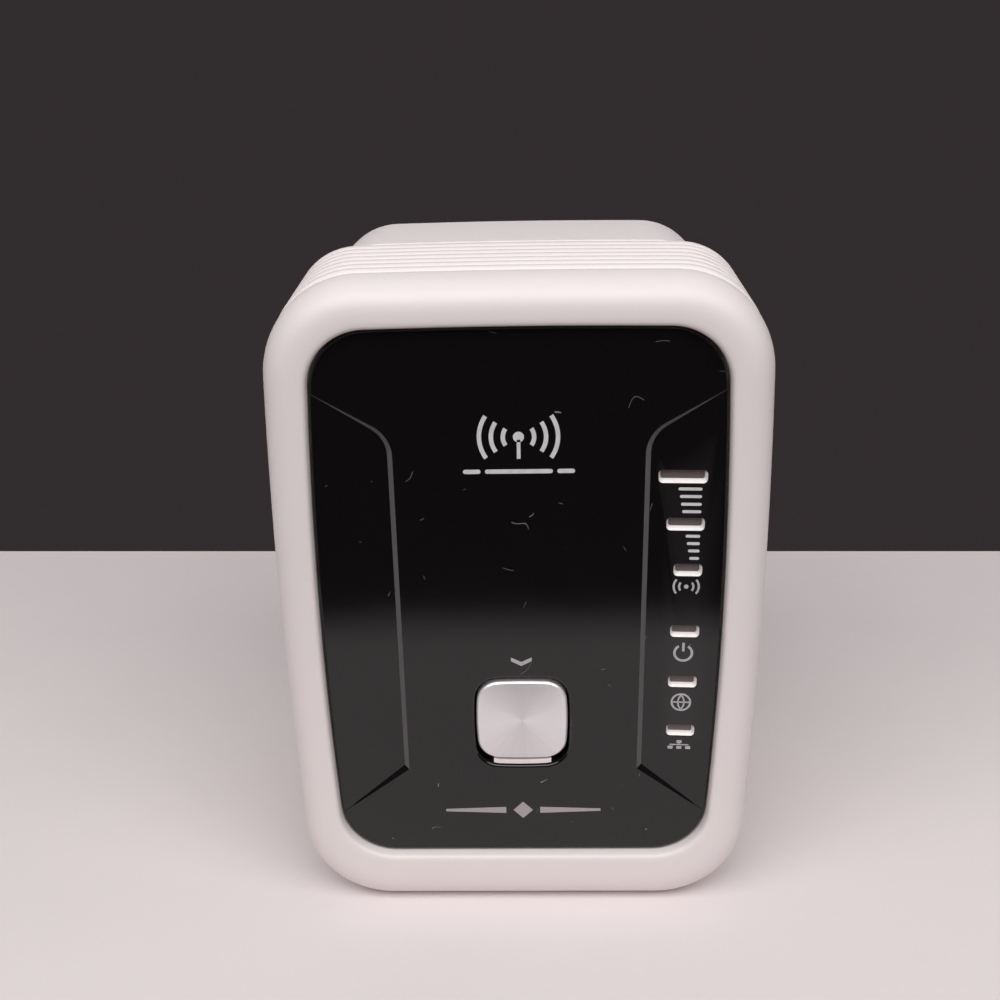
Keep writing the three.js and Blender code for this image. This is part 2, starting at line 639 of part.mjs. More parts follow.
function buildHousing() {
  const rootOffset = FRAME_WIDTH - RIB_DEPTH;
  const rings = [{ outline: housingOutline(rootOffset, HOUSING_FRONT_Y), y: HOUSING_FRONT_Y }];
  for (let i = 0; i < RIB_COUNT; i += 1) {
    const middle = FIRST_RIB_Y + RIB_PITCH * i;
    const profile = [
      [rootOffset, -RIB_ROOT / 2],
      [FRAME_WIDTH, -RIB_CREST / 2],
      [FRAME_WIDTH, RIB_CREST / 2],
      [rootOffset, RIB_ROOT / 2],
    ];
    const isLast = i === RIB_COUNT - 1;
    for (const [offset, shift] of isLast ? profile.slice(0, -1) : profile) {
      const y = isLast && shift > 0 ? HOUSING_BACK_Y : middle + shift;
      rings.push({ outline: housingOutline(offset, y), y });
    }
  }
  // A shoulder behind the ribs steps in to the narrower rear cover and seats it.
  const shoulderY = HOUSING_BACK_Y - SHOULDER_THICKNESS;
  rings.push({ outline: coverOutline(SHOULDER_INSET, COVER_FRONT_Y), y: HOUSING_BACK_Y });
  rings.push({ outline: coverOutline(SHOULDER_INSET, COVER_FRONT_Y), y: shoulderY });
  rings.push({ outline: housingOutline(HOUSING_INNER, shoulderY), y: shoulderY });
  rings.push({ outline: housingOutline(HOUSING_INNER, HOUSING_FRONT_Y), y: HOUSING_FRONT_Y });

  const cuts = [];
  // Openings in the bottom wall for the two network sockets.
  for (const x of JACK_CENTRES_X) {
    const margin = CLEARANCE;
    cuts.push(block(
      [x - JACK_WIDTH / 2 - margin, JACK_FRONT_Y - margin, BODY_BOTTOM - 1],
      [x + JACK_WIDTH / 2 + margin, JACK_FRONT_Y + JACK_DEPTH + margin, BODY_BOTTOM + WALL + 1],
    ));
  }
  // Shallow pockets and slots for the slide switches, and a pinhole for reset.
  const pocketX = BODY_HALF_WIDTH + CUT_REACH / 2 - CONTROL_POCKET_DEPTH;
  const pocket = (side, z, length) => blockAt(
    side * pocketX, CONTROL_Y, z, CUT_REACH, CONTROL_POCKET_WIDTH, length,
  );
  const slotWidth = KNOB_WIDTH + 2 * CLEARANCE;
  const wallSlot = (side, low, high) => blockAt(
    side * BODY_HALF_WIDTH, CONTROL_Y, (low + high) / 2, CUT_REACH, slotWidth, high - low,
  );
  const reach = KNOB_LENGTH / 2 + CLEARANCE;
  cuts.push(pocket(-1, MODE_SWITCH_Z, 14));
  cuts.push(wallSlot(-1, MODE_SWITCH_Z - MODE_TRAVEL - reach, MODE_SWITCH_Z + MODE_TRAVEL + reach));
  cuts.push(pocket(1, POWER_SWITCH_Z - POWER_TRAVEL / 2, 12));
  cuts.push(wallSlot(1, POWER_SWITCH_Z - POWER_TRAVEL - reach, POWER_SWITCH_Z + reach));
  const pinhole = new THREE.CylinderGeometry(1, 1, CUT_REACH, 12).rotateZ(Math.PI / 2);
  cuts.push(pinhole.translate(-BODY_HALF_WIDTH, CONTROL_Y, RESET_Z));
  // Vent slots at the bottom of the side grooves.
  for (let i = 0; i < VENT_COUNT; i += 1) {
    const y = FIRST_RIB_Y + RIB_PITCH * (i + 1.5);
    for (const side of [-1, 1]) {
      for (const z of VENT_ROWS_Z) {
        cuts.push(blockAt(side * BODY_HALF_WIDTH, y, z, CUT_REACH, VENT_WIDTH, VENT_LENGTH));
      }
    }
  }
  add('ribbed_housing', carve(loft(rings, true), cuts), WHITE_PLASTIC);
}

function coverOutline(inset, y) {
  const along = (y - COVER_FRONT_Y) / (COVER_BACK_Y - COVER_FRONT_Y);
  const draft = COVER_DRAFT * along;
  return bowedOutline({
    halfWidth: BODY_HALF_WIDTH - COVER_STEP - draft - inset,
    top: BODY_TOP - draft / 2 - inset,
    bottom: -BODY_BOTTOM - inset,
    corner: COVER_CORNER - inset,
    ...BODY_BOWS,
  });
}

function buildRearCover() {
  const EDGE_STEPS = 3;
  const INNER_BACK_Y = COVER_BACK_Y - WALL;
  const rings = [
    { outline: coverOutline(WALL, INNER_BACK_Y), y: INNER_BACK_Y },
    { outline: coverOutline(WALL, COVER_FRONT_Y), y: COVER_FRONT_Y },
    { outline: coverOutline(0, COVER_FRONT_Y), y: COVER_FRONT_Y },
  ];
  for (let i = 0; i <= EDGE_STEPS; i += 1) {
    const angle = Math.PI / 2 * i / EDGE_STEPS;
    const inset = COVER_EDGE_RADIUS * (1 - Math.cos(angle));
    const y = COVER_BACK_Y - COVER_EDGE_RADIUS * (1 - Math.sin(angle));
    rings.push({ outline: coverOutline(inset, y), y });
  }
  const postRadius = POST_RADIUS + 0.6;
  const postEnds = [POST_JOINT_Y + CLEARANCE, INNER_BACK_Y + 0.5];
  const posts = SCREW_POSTS.map(({ x, z }) => bar(x, z, postRadius, ...postEnds));
  const cuts = [];
  for (const { x, z } of SCREW_POSTS) {
    cuts.push(bar(x, z, SCREW_SHANK_RADIUS + CLEARANCE, POST_JOINT_Y - 1, COVER_BACK_Y));
    cuts.push(bar(x, z, SCREW_HEAD_RADIUS + CLEARANCE, SCREW_HEAD_Y - CLEARANCE, COVER_BACK_Y + 1));
  }
  const gap = 2 * CLEARANCE;
  const plugHole = roundedRectangle(0, PLUG_Z, PLUG_WIDTH + gap, PLUG_HEIGHT + gap, 3.3);
  cuts.push(prism(plugHole, INNER_BACK_Y - 1, COVER_BACK_Y + 1));
  const labelRecess = roundedRectangle(0, LABEL_Z, LABEL_WIDTH + gap, LABEL_HEIGHT + gap, 1.3);
  cuts.push(prism(labelRecess, COVER_BACK_Y - LABEL_RECESS, COVER_BACK_Y + 1));
  add('rear_cover', carve(fuse([loft(rings), ...posts]), cuts), WHITE_PLASTIC);

  const labelBackY = COVER_BACK_Y - LABEL_RECESS + CLEARANCE;
  const label = roundedRectangle(0, LABEL_Z, LABEL_WIDTH, LABEL_HEIGHT, 1);
  add('rating_label', prism(label, labelBackY, labelBackY + LABEL_THICKNESS), LABEL_FILM);
}

function buildPlug() {
  const face = roundedRectangle(0, PLUG_Z, PLUG_WIDTH, PLUG_HEIGHT, 3);
  const insert = prism(face, PLUG_FRONT_Y, COVER_BACK_Y);
  const holeWidth = BLADE_THICKNESS + 2 * CLEARANCE;
  const holeHeight = BLADE_WIDTH + 2 * CLEARANCE;
  const bladeHole = (x) => blockAt(x, COVER_BACK_Y, PLUG_Z, holeWidth, 30, holeHeight);
  const sides = [{ name: 'left', x: -BLADE_SPACING / 2 }, { name: 'right', x: BLADE_SPACING / 2 }];
  add('plug_insert', carve(insert, sides.map(({ x }) => bladeHole(x))), WHITE_PLASTIC);

  const bladeInnerY = COVER_BACK_Y - BLADE_INNER_LENGTH;
  const TIP_TAPER = 1.5;
  for (const { name, x } of sides) {
    const direction = Math.sign(x);
    // The blade, drawn in z and y: chamfered at the tip, with a round hole near it.
    const half = BLADE_WIDTH / 2;
    const outline = new THREE.Shape([
      new THREE.Vector2(-half, bladeInnerY),
      new THREE.Vector2(half, bladeInnerY),
      new THREE.Vector2(half, BLADE_TIP_Y - TIP_TAPER),
      new THREE.Vector2(half - TIP_TAPER, BLADE_TIP_Y),
      new THREE.Vector2(-half + TIP_TAPER, BLADE_TIP_Y),
      new THREE.Vector2(-half, BLADE_TIP_Y - TIP_TAPER),
    ]);
    const hole = new THREE.Path().absarc(0, BLADE_TIP_Y - 4.3, 1.6, 0, 2 * Math.PI);
    outline.holes.push(hole);
    const extrusion = { depth: BLADE_THICKNESS, bevelEnabled: false, curveSegments: 12 };
    const blade = new THREE.ExtrudeGeometry(outline, extrusion);
    // The sketch's x becomes z, its y stays y, and the thickness runs along x.
    blade.rotateY(-Math.PI / 2).translate(x + BLADE_THICKNESS / 2, 0, PLUG_Z);
    add(`plug_blade_${name}`, blade, NICKEL);

    // A bent contact strip presses on the blade's inner end and carries the mains wire.
    const stripX = x + direction * (BLADE_THICKNESS / 2 + CLEARANCE);
    const foldX = stripX + direction * STRIP_THICKNESS;
    const footX = stripX + direction * STRIP_FOOT;
    const footY = bladeInnerY - STRIP_REACH;
    const strip = new THREE.Shape();
    strip.moveTo(stripX, bladeInnerY + STRIP_REACH);
    strip.lineTo(foldX, bladeInnerY + STRIP_REACH);
    strip.lineTo(foldX, footY);
    strip.lineTo(footX, footY);
    strip.lineTo(footX, footY - STRIP_THICKNESS);
    strip.lineTo(stripX, footY - STRIP_THICKNESS);
    const contact = new THREE.ExtrudeGeometry(strip, { depth: BLADE_WIDTH - 1, bevelEnabled: false });
    add(`plug_contact_${name}`, contact.translate(0, 0, PLUG_Z - BLADE_WIDTH / 2 + 0.5), GOLD_PLATE);

    const wireStart = [x + direction * 3.2, bladeInnerY - 4.6, PLUG_Z - 1];
    const wireEnd = [direction * 17, POWER_BOARD_BACK_Y + 1.4, 1];
    const wireMiddle = [direction * 14, (wireStart[1] + wireEnd[1]) / 2, 6];
    add(`mains_wire_${name}`, wire([wireStart, wireMiddle, wireEnd], 0.8, 8), WIRE_BLACK);
  }
}

function buildMainBoard() {
  const halfWidth = 30.2;
  const outline = block(
    [-halfWidth, MAIN_BOARD_Y, MAIN_BOARD_BOTTOM],
    [halfWidth, MAIN_BOARD_BACK_Y, MAIN_BOARD_TOP],
  );
  const through = [MAIN_BOARD_Y - 1, MAIN_BOARD_BACK_Y + 1];
  const postHoles = SCREW_POSTS.map(({ x, z }) => bar(x, z, POST_RADIUS + CLEARANCE, ...through));
  // Clipped corners clear the housing's rounded ones.
  const corners = [];
  for (const side of [-1, 1]) {
    for (const z of [MAIN_BOARD_TOP, MAIN_BOARD_BOTTOM]) {
      const corner = new THREE.BoxGeometry(8, 8, 8).rotateY(Math.PI / 4);
      const reach = 1.3;
      corners.push(corner.translate(side * (halfWidth + reach), MAIN_BOARD_Y, z + Math.sign(z) * reach));
    }
  }
  add('main_board', carve(outline, [...postHoles, ...corners]), BOARD_GREEN);

  const onBack = MAIN_BOARD_BACK_Y + CLEARANCE;
  const chips = [
    { name: 'processor', x: 0, z: 14, width: 12, height: 12, thickness: 1.0 },
    { name: 'memory_chip', x: -17, z: 14, width: 5.2, height: 5.2, thickness: 1.8 },
    { name: 'network_transformer', x: 0, z: -20, width: 16, height: 9.5, thickness: 5.6 },
  ];
  for (const { name, x, z, width, height, thickness } of chips) {
    add(name, blockAt(x, onBack + thickness / 2, z, width, thickness, height), CHIP_BLACK);
  }
  const CAN_SIZE = 20;
  const CAN_DEPTH = 3;
  const CAN_WALL = 0.4;
  const inside = CAN_SIZE - 2 * CAN_WALL;
  const can = blockAt(0, onBack + CAN_DEPTH / 2, chips[0].z, CAN_SIZE, CAN_DEPTH, CAN_SIZE);
  const canInside = blockAt(0, onBack + CAN_DEPTH / 2 - CAN_WALL, chips[0].z, inside, CAN_DEPTH, inside);
  add('shield_can', carve(can, [canInside]), TINNED_STEEL);

  const names = ['wan', 'lan'];
  JACK_CENTRES_X.forEach((x, index) => buildNetworkSocket(names[index], x));
}

function buildNetworkSocket(name, x) {
  const mouthZ = BODY_BOTTOM + 0.5;
  const holeFrontY = JACK_FRONT_Y + JACK_HOLE_INSET;
  const shell = block(
    [x - JACK_WIDTH / 2, JACK_FRONT_Y, mouthZ],
    [x + JACK_WIDTH / 2, JACK_FRONT_Y + JACK_DEPTH, mouthZ + JACK_LENGTH],
  );
  const hole = block(
    [x - JACK_HOLE_WIDTH / 2, holeFrontY, mouthZ - 1],
    [x + JACK_HOLE_WIDTH / 2, holeFrontY + JACK_HOLE_DEPTH, mouthZ + JACK_HOLE_LENGTH],
  );
  // The latch keyway, stepped like the plug's clip.
  const keyway = block(
    [x - JACK_KEYWAY_HALF_WIDTH, holeFrontY + JACK_HOLE_DEPTH - 1, mouthZ - 1],
    [x + JACK_KEYWAY_HALF_WIDTH, holeFrontY + JACK_HOLE_DEPTH + 1.5, mouthZ + JACK_HOLE_LENGTH - 3],
  );
  add(`${name}_jack`, carve(shell, [hole, keyway]), CHIP_BLACK);

  // Eight spring fingers on one carrier, slanting down from the socket's inner end.
  const comb = new THREE.Shape();
  const combHalf = FINGER_PITCH * (FINGER_COUNT - 1) / 2 + FINGER_WIDTH / 2;
  comb.moveTo(combHalf, 0);
  comb.lineTo(combHalf, 1.2);
  comb.lineTo(-combHalf, 1.2);
  for (let i = 0; i < FINGER_COUNT; i += 1) {
    const left = -combHalf + FINGER_PITCH * i;
    comb.lineTo(left, -FINGER_LENGTH);
    comb.lineTo(left + FINGER_WIDTH, -FINGER_LENGTH);
    if (i < FINGER_COUNT - 1) {
      comb.lineTo(left + FINGER_WIDTH, 0);
      comb.lineTo(left + FINGER_PITCH, 0);
    }
  }
  const fingers = new THREE.ExtrudeGeometry(comb, { depth: FINGER_THICKNESS, bevelEnabled: false });
  fingers.rotateX(Math.PI / 2).rotateX(FINGER_SLANT);
  const topZ = mouthZ + JACK_HOLE_LENGTH - 1.8;
  add(`${name}_jack_contacts`, fingers.translate(x, holeFrontY + 0.9, topZ), GOLD_PLATE);
}

function buildSideControls() {
  const slideSwitch = (name, side, z, low, high) => {
    const [innerX, outerX] = SWITCH_BODY_X.map((reach) => side * reach);
    const middleX = (innerX + outerX) / 2;
    const middleZ = z + (low + high) / 2;
    const halfTravel = (high - low) / 2;
    const length = KNOB_LENGTH + 2 * halfTravel + 3;
    const frontY = MAIN_BOARD_BACK_Y + CLEARANCE;
    const depth = 2 * (CONTROL_Y - frontY);
    const base = blockAt(middleX, CONTROL_Y, middleZ, Math.abs(outerX - innerX), depth, length);
    const track = blockAt(outerX - side, CONTROL_Y, middleZ, 4.4,
      KNOB_WIDTH + 2 * CLEARANCE, KNOB_LENGTH + 2 * halfTravel + 2 * CLEARANCE);
    add(`${name}_switch_body`, carve(base, [track]), TINNED_STEEL);
    const knobInner = outerX - side * 2.4;
    const knobOuter = side * (BODY_HALF_WIDTH - 0.3);
    const knobX = (knobInner + knobOuter) / 2;
    const knob = blockAt(knobX, CONTROL_Y, z, Math.abs(knobOuter - knobInner), KNOB_WIDTH, KNOB_LENGTH);
    add(`${name}_switch_knob`, knob, CHIP_BLACK);
  };
  slideSwitch('mode', -1, MODE_SWITCH_Z, -MODE_TRAVEL, MODE_TRAVEL);
  slideSwitch('power', 1, POWER_SWITCH_Z, -POWER_TRAVEL, 0);

  const resetBody = block(
    [-RESET_BODY_X[1], CONTROL_Y - 2, RESET_Z - 3],
    [-RESET_BODY_X[0], CONTROL_Y + 2, RESET_Z + 3],
  );
  const resetPin = (radius, length, x) => new THREE.CylinderGeometry(radius, radius, length, 12)
    .rotateZ(Math.PI / 2).translate(x, CONTROL_Y, RESET_Z);
  const guide = resetPin(RESET_RADIUS + CLEARANCE, 4, -RESET_BODY_X[1]);
  add('reset_switch_body', carve(resetBody, [guide]), CHIP_BLACK);
  add('reset_switch_plunger', resetPin(RESET_RADIUS, 3, -RESET_BODY_X[1] - 0.4), WHITE_PLASTIC);
}

function buildPowerBoard() {
  const halfWidth = 20;
  const board = block(
    [-halfWidth, POWER_BOARD_Y, POWER_BOARD_BOTTOM],
    [halfWidth, POWER_BOARD_BACK_Y, POWER_BOARD_TOP],
  );
  add('power_board', board, BOARD_GREEN);
  const seat = POWER_BOARD_BACK_Y + CLEARANCE;
  const core = blockAt(-8, seat + 7, -27, 17, 14, 19);
  const winding = blockAt(-8, seat + 7.5, -27, 12, 15, 22);
  add('power_transformer', fuse([core, winding]), TAPE_YELLOW);
  const cans = [
    { name: 'input_capacitor', x: 13, z: -18, radius: 5, height: 15, surface: SLEEVE_DARK },
    { name: 'output_capacitor', x: 13, z: -32, radius: 4, height: 12, surface: SLEEVE_DARK },
    { name: 'mains_fuse', x: 2, z: -6, radius: 2.2, height: 6, surface: CHIP_BLACK },
  ];
  for (const { name, x, z, radius, height, surface } of cans) {
    add(name, bar(x, z, radius, seat, seat + height, 16), surface);
  }
  add('bridge_rectifier', blockAt(-12, seat + 2, -8, 8, 4, 6), CHIP_BLACK);
}

function buildWiring() {
  // Two low-voltage wires from the power board to the main board, down the left edge.
  const lanes = [
    { name: 'positive', x: -22.4, surface: WIRE_RED },
    { name: 'negative', x: -24.6, surface: WIRE_BLACK },
  ];
  for (const { name, x, surface } of lanes) {
    const route = [[x, MAIN_BOARD_BACK_Y + 1.3, -29], [x, 20, -30], [x, 28, -28], [x + 1.2, 36.4, -26]];
    add(`dc_wire_${name}`, wire(route, 0.7, 12), surface);
  }
  for (const [name, side] of [['left', -1], ['right', 1]]) {
    add(`antenna_${name}`, blockAt(side * 29, 21.5, 27.1, 0.8, 10, 26.2), COPPER_FOIL);
    const route = [
      [side * 27.9, 21.5, 20],
      [side * 26, 20, 8],
      [side * 20, 16, 3],
      [side * 12.2, MAIN_BOARD_BACK_Y + 1.6, 1.5],
    ];
    add(`antenna_cable_${name}`, wire(route, 0.55, 14), CABLE_GREY);
  }
}

function buildScrews() {
  const HEAD_HEIGHT = 2.2;
  const SHANK_LENGTH = 19;
  for (const { name, x, z } of SCREW_POSTS) {
    const shank = bar(x, z, SCREW_SHANK_RADIUS, SCREW_HEAD_Y - SHANK_LENGTH, SCREW_HEAD_Y + 0.5, 10);
    const head = bar(x, z, SCREW_HEAD_RADIUS, SCREW_HEAD_Y, SCREW_HEAD_Y + HEAD_HEIGHT, 14);
    const driveLength = 3.2;
    const drive = [
      blockAt(x, SCREW_HEAD_Y + HEAD_HEIGHT, z, driveLength, 2, 0.7),
      blockAt(x, SCREW_HEAD_Y + HEAD_HEIGHT, z, 0.7, 2, driveLength),
    ];
    add(`screw_${name}`, carve(fuse([shank, head]), drive), TINNED_STEEL);
  }
}

buildFrontShell();
buildFrontPanel();
buildPairingButton();
buildLights();
buildHousing();
buildRearCover();
buildPlug();
buildMainBoard();
buildSideControls();
buildPowerBoard();
buildWiring();
buildScrews();

// Centre the footprint on the origin and stand the part on z = 0.
body.position.set(0, -(CREST_Y + BLADE_TIP_Y) / 2, -BODY_BOTTOM);

const group = new THREE.Group();
group.add(body);

export default group;
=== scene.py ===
"""Looks for a plug-in wireless range extender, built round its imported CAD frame.

Shapes are drawn in millimetres in the drawing frame: x to the right, y from the panel's face
towards the wall, z up from the panel's middle. place() turns them into the row frame's metres.
"""

import math

import bmesh
import bpy
from mathutils import Matrix, Vector


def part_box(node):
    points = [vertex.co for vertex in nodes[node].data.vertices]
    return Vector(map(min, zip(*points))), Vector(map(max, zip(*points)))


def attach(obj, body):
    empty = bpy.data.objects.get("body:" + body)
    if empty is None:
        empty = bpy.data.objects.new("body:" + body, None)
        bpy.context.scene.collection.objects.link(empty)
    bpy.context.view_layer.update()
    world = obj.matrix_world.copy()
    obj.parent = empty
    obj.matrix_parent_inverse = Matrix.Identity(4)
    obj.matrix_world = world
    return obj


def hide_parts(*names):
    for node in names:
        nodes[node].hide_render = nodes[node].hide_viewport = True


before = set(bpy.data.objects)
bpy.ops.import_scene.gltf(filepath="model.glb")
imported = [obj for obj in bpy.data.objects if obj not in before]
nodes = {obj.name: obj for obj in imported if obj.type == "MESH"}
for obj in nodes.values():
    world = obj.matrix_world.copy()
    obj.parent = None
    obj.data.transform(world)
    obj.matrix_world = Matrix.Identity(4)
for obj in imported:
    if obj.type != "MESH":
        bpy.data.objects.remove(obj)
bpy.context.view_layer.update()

MM = 0.001
CLEARANCE = 0.3

# ---------------------------------------------------------------------------
# Camera, at the viewing angle of the real thing
# ---------------------------------------------------------------------------

# Position in millimetres from the middle of the footprint, angles in degrees.
CAMERA_AT = (1.122, -180.086, 124.852)
CAMERA_PITCH = 21.473
CAMERA_YAW = -1.483
CAMERA_ROLL = -1.117
CAMERA_LENS = 41.04
SENSOR_WIDTH = 36


def camera_axes(pitch, yaw, roll):
    forward = Vector(
        (math.sin(yaw) * math.cos(pitch), math.cos(yaw) * math.cos(pitch), -math.sin(pitch))
    )
    level = Vector((math.cos(yaw), -math.sin(yaw), 0))
    above = level.cross(forward)
    right = math.cos(roll) * level + math.sin(roll) * above
    up = -math.sin(roll) * level + math.cos(roll) * above
    return right, up, forward


camera_data = bpy.data.cameras.new("camera")
camera_data.lens = CAMERA_LENS
camera_data.sensor_width = SENSOR_WIDTH
camera_data.clip_start = 0.005
camera = bpy.data.objects.new("camera", camera_data)
bpy.context.scene.collection.objects.link(camera)
right, up, forward = camera_axes(*map(math.radians, (CAMERA_PITCH, CAMERA_YAW, CAMERA_ROLL)))
camera.matrix_world = Matrix.Translation(Vector(CAMERA_AT) * MM) @ Matrix(
    (right, up, -forward)
).transposed().to_4x4()
bpy.context.scene.camera = camera

# ---------------------------------------------------------------------------
# Dimensions, read from the frame where it has them
# ---------------------------------------------------------------------------

panel_low, panel_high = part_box("front_panel")
shell_low, shell_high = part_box("front_shell")
ZERO = Vector((0, panel_low.y, (panel_low.z + panel_high.z) / 2))

PANEL_HALF_WIDTH = (panel_high.x - panel_low.x) / 2 / MM
PANEL_HALF_HEIGHT = (panel_high.z - panel_low.z) / 2 / MM
FRAME_WIDTH = (shell_high.z - panel_high.z) / MM
CHIN = (panel_low.z - shell_low.z) / MM - FRAME_WIDTH
CREST_Y = (shell_low.y - panel_low.y) / MM
PANEL_CORNER = 8.0
SIDE_BOW = 1.3
END_BOW = 0.45
PANEL_THICKNESS = 1.9
CREST_OFFSET = 1.4
FRAME_BACK_Y = 5.4
TONGUE_LENGTH = 3.1
TONGUE_WALL = 1.5
FRAME_CORNER_GROWTH = 0.85
FRAME_ROUNDNESS = 2.6
CHIN_ROUNDNESS = 4.0
SHELL_FLOOR_BACK_Y = 3.9
WALL = 1.9

HOUSING_FRONT_Y = 6.0
HOUSING_BACK_Y = 29.3
HOUSING_CORNERS = (13.0, 10.0)  # at the front and at the back
RIB_COUNT = 7
RIB_PITCH = 3.2
FIRST_RIB_Y = 8.8
RIB_ROOT = 2.3
RIB_DEPTH = 0.8
RIB_SQUARENESS = 4
SHOULDER_THICKNESS = 1.5
SHOULDER_INSET = 1.6
VENT_ROWS_Z = (20.5, -30.0)
VENT_LENGTH = 13.0
VENT_WIDTH = 0.8

COVER_FRONT_Y = 29.6
COVER_BACK_Y = 54.5
COVER_STEP = 3.0
COVER_CORNER = 10.6
COVER_EDGE_RADIUS = 2.5
COVER_DRAFT = 0.3

COLLAR_WALL = 0.9
BUTTON_Z = -18.1
BUTTON_WIDTH = 13.5
BUTTON_HEIGHT = 13.2
BUTTON_CORNER = 3.3
BUTTON_BOWS = (0.5, 0.35, 0.35)  # sides, top and bottom
WELL_GAPS = (CLEARANCE, 0.75, 1.15)  # beside, above and below the button
WINDOW_HEIGHT = 2.05
WINDOW_CORNER = 0.65
# Indicator windows: the LED behind it, middle x, middle z and width.
WINDOWS = (
    ("lan", 23.45, -20.0, 4.25),
    ("wan", 23.45, -11.75, 4.25),
    ("power", 23.45, -3.5, 4.25),
    ("signal_low", 23.5, 6.15, 4.1),
    ("signal_mid", 22.9, 13.1, 5.35),
    ("signal_high", 22.3, 20.1, 6.75),
)
INDICATOR_X = 23.35  # middle of the signs under the windows

WING_INNER_X = 17.1
WING_OUTER_X = 30.0
WING_UPPER_Z = 26.475
WING_LOWER_Z = -26.4
WING_UPPER_SLOPE = 0.576
WING_LOWER_SLOPE = -0.744
WING_CORNER = 5.0
WING_DEPTH = 0.7
WING_WALL_WIDTH = 0.8

# Screw posts: x and z.
SCREW_POSTS = ((-23, 38.5), (23, 38.5), (-24, -41), (24, -41))
POST_RADIUS = 3.1
POST_JOINT_Y = 27.0
SCREW_HOLE_RADIUS = 1.6
SCREW_HEAD_Y = 36.0
PLUG_Z = 12.0
PLUG_WIDTH = 30.0
PLUG_HEIGHT = 26.0
PLUG_CORNER = 3.0
PLUG_FRONT_Y = 47.0
BLADE_SPACING = 12.7
BLADE_THICKNESS = 1.5
BLADE_WIDTH = 6.35
BLADE_TAPER = 1.5
BLADE_HOLE_RADIUS = 1.6
BLADE_HOLE_INSET = 4.3
LABEL = dict(x=0.0, z=-20.0, width=38.0, height=22.0, corner=1.0)
LABEL_RECESS = 0.5

# Slide switches: which side, the knob, and how far it travels up and down.
CONTROLS = ((-1, "mode_switch_knob", 2, 2), (1, "power_switch_knob", 0, 2))
CONTROL_Y = 14.4
RESET_Z = -14.0
POCKET_WIDTH = 4.8
POCKET_MARGIN = 3.2
POCKET_CORNER = 1.2
POCKET_DEPTH = 1.0
SIDE_CUT = (31, 39)  # x of a cut that goes right through a side wall


def place(x, y, z):
    return ZERO + MM * Vector((x, y, z))


# ---------------------------------------------------------------------------
# Outlines, drawn in x and z, anticlockwise as seen from the front
# ---------------------------------------------------------------------------

SIDE_STEPS = 12
CORNER_STEPS = 22
END_STEPS = 10


def quarter_outline(half_width, half_height, corner, side_bow, end_bow):
    """From the middle of the bowed side, round the corner, to the middle of the bowed end."""

    def side_x(z):
        return half_width - side_bow * (z / half_height) ** 2

    def end_z(x):
        return half_height - end_bow * (x / half_width) ** 2

    centre_x, centre_z = half_width - corner, half_height - corner
    for _ in range(12):
        side_tilt = math.atan(2 * side_bow * centre_z / half_height**2)
        end_tilt = math.atan(2 * end_bow * centre_x / half_width**2)
        centre_x = side_x(centre_z + corner * math.sin(side_tilt)) - corner * math.cos(side_tilt)
        centre_z = end_z(centre_x + corner * math.sin(end_tilt)) - corner * math.cos(end_tilt)
    arc_start_z = centre_z + corner * math.sin(side_tilt)
    arc_end_x = centre_x + corner * math.sin(end_tilt)
    points = []
    for i in range(SIDE_STEPS):
        z = arc_start_z * i / SIDE_STEPS
        points.append((side_x(z), z))
    for i in range(CORNER_STEPS + 1):
        angle = side_tilt + (math.pi / 2 - end_tilt - side_tilt) * i / CORNER_STEPS
        points.append((centre_x + corner * math.cos(angle), centre_z + corner * math.sin(angle)))
    for i in range(1, END_STEPS + 1):
        x = arc_end_x * (1 - i / END_STEPS)
        points.append((x, end_z(x)))
    return points


def bowed_outline(half_width, top, bottom, corner, side_bow=SIDE_BOW, top_bow=END_BOW, low_bow=0):
    upper = quarter_outline(half_width, top, corner, side_bow, top_bow)
    lower = quarter_outline(half_width, bottom, corner, side_bow, low_bow)
    return (
        upper[:-1]
        + [(-x, z) for x, z in reversed(upper)][:-1]
        + [(-x, -z) for x, z in lower][:-1]
        + [(x, -z) for x, z in reversed(lower)][:-1]
    )


def panel_offset(offset, drop=0.0, corner=None):
    """The panel's own outline moved outwards, with an extra drop at the bottom."""
    if corner is None:
        corner = PANEL_CORNER + FRAME_CORNER_GROWTH * offset
    top = PANEL_HALF_HEIGHT + offset
    return bowed_outline(PANEL_HALF_WIDTH + offset, top, top + drop, corner)


def rounded_rectangle(x, z, width, height, corner, steps=10):
    points = []
    for quadrant, (sx, sz) in enumerate(((1, 1), (-1, 1), (-1, -1), (1, -1))):
        for i in range(steps + 1):
            angle = math.pi / 2 * (quadrant + i / steps)
            points.append(
                (
                    x + sx * (width / 2 - corner) + corner * math.cos(angle),
                    z + sz * (height / 2 - corner) + corner * math.sin(angle),
                )
            )
    return points


def capsule(x, z, width, height, steps=10):
    return rounded_rectangle(x, z, width, height, min(width, height) * 0.499, steps)


def circle(x, z, radius, steps=36):
    turn = 2 * math.pi / steps
    angles = [i * turn for i in range(steps)]
    return [(x + radius * math.cos(a), z + radius * math.sin(a)) for a in angles]


def arc_band(x, z, radius, width, start, end, steps=16):
    """A curved stroke round a centre, between two angles in degrees."""
    angles = [math.radians(start + (end - start) * i / steps) for i in range(steps + 1)]
    outer, inner = (
        [(x + reach * math.cos(a), z + reach * math.sin(a)) for a in angles]
        for reach in (radius + width / 2, radius - width / 2)
    )
    return outer + inner[::-1]


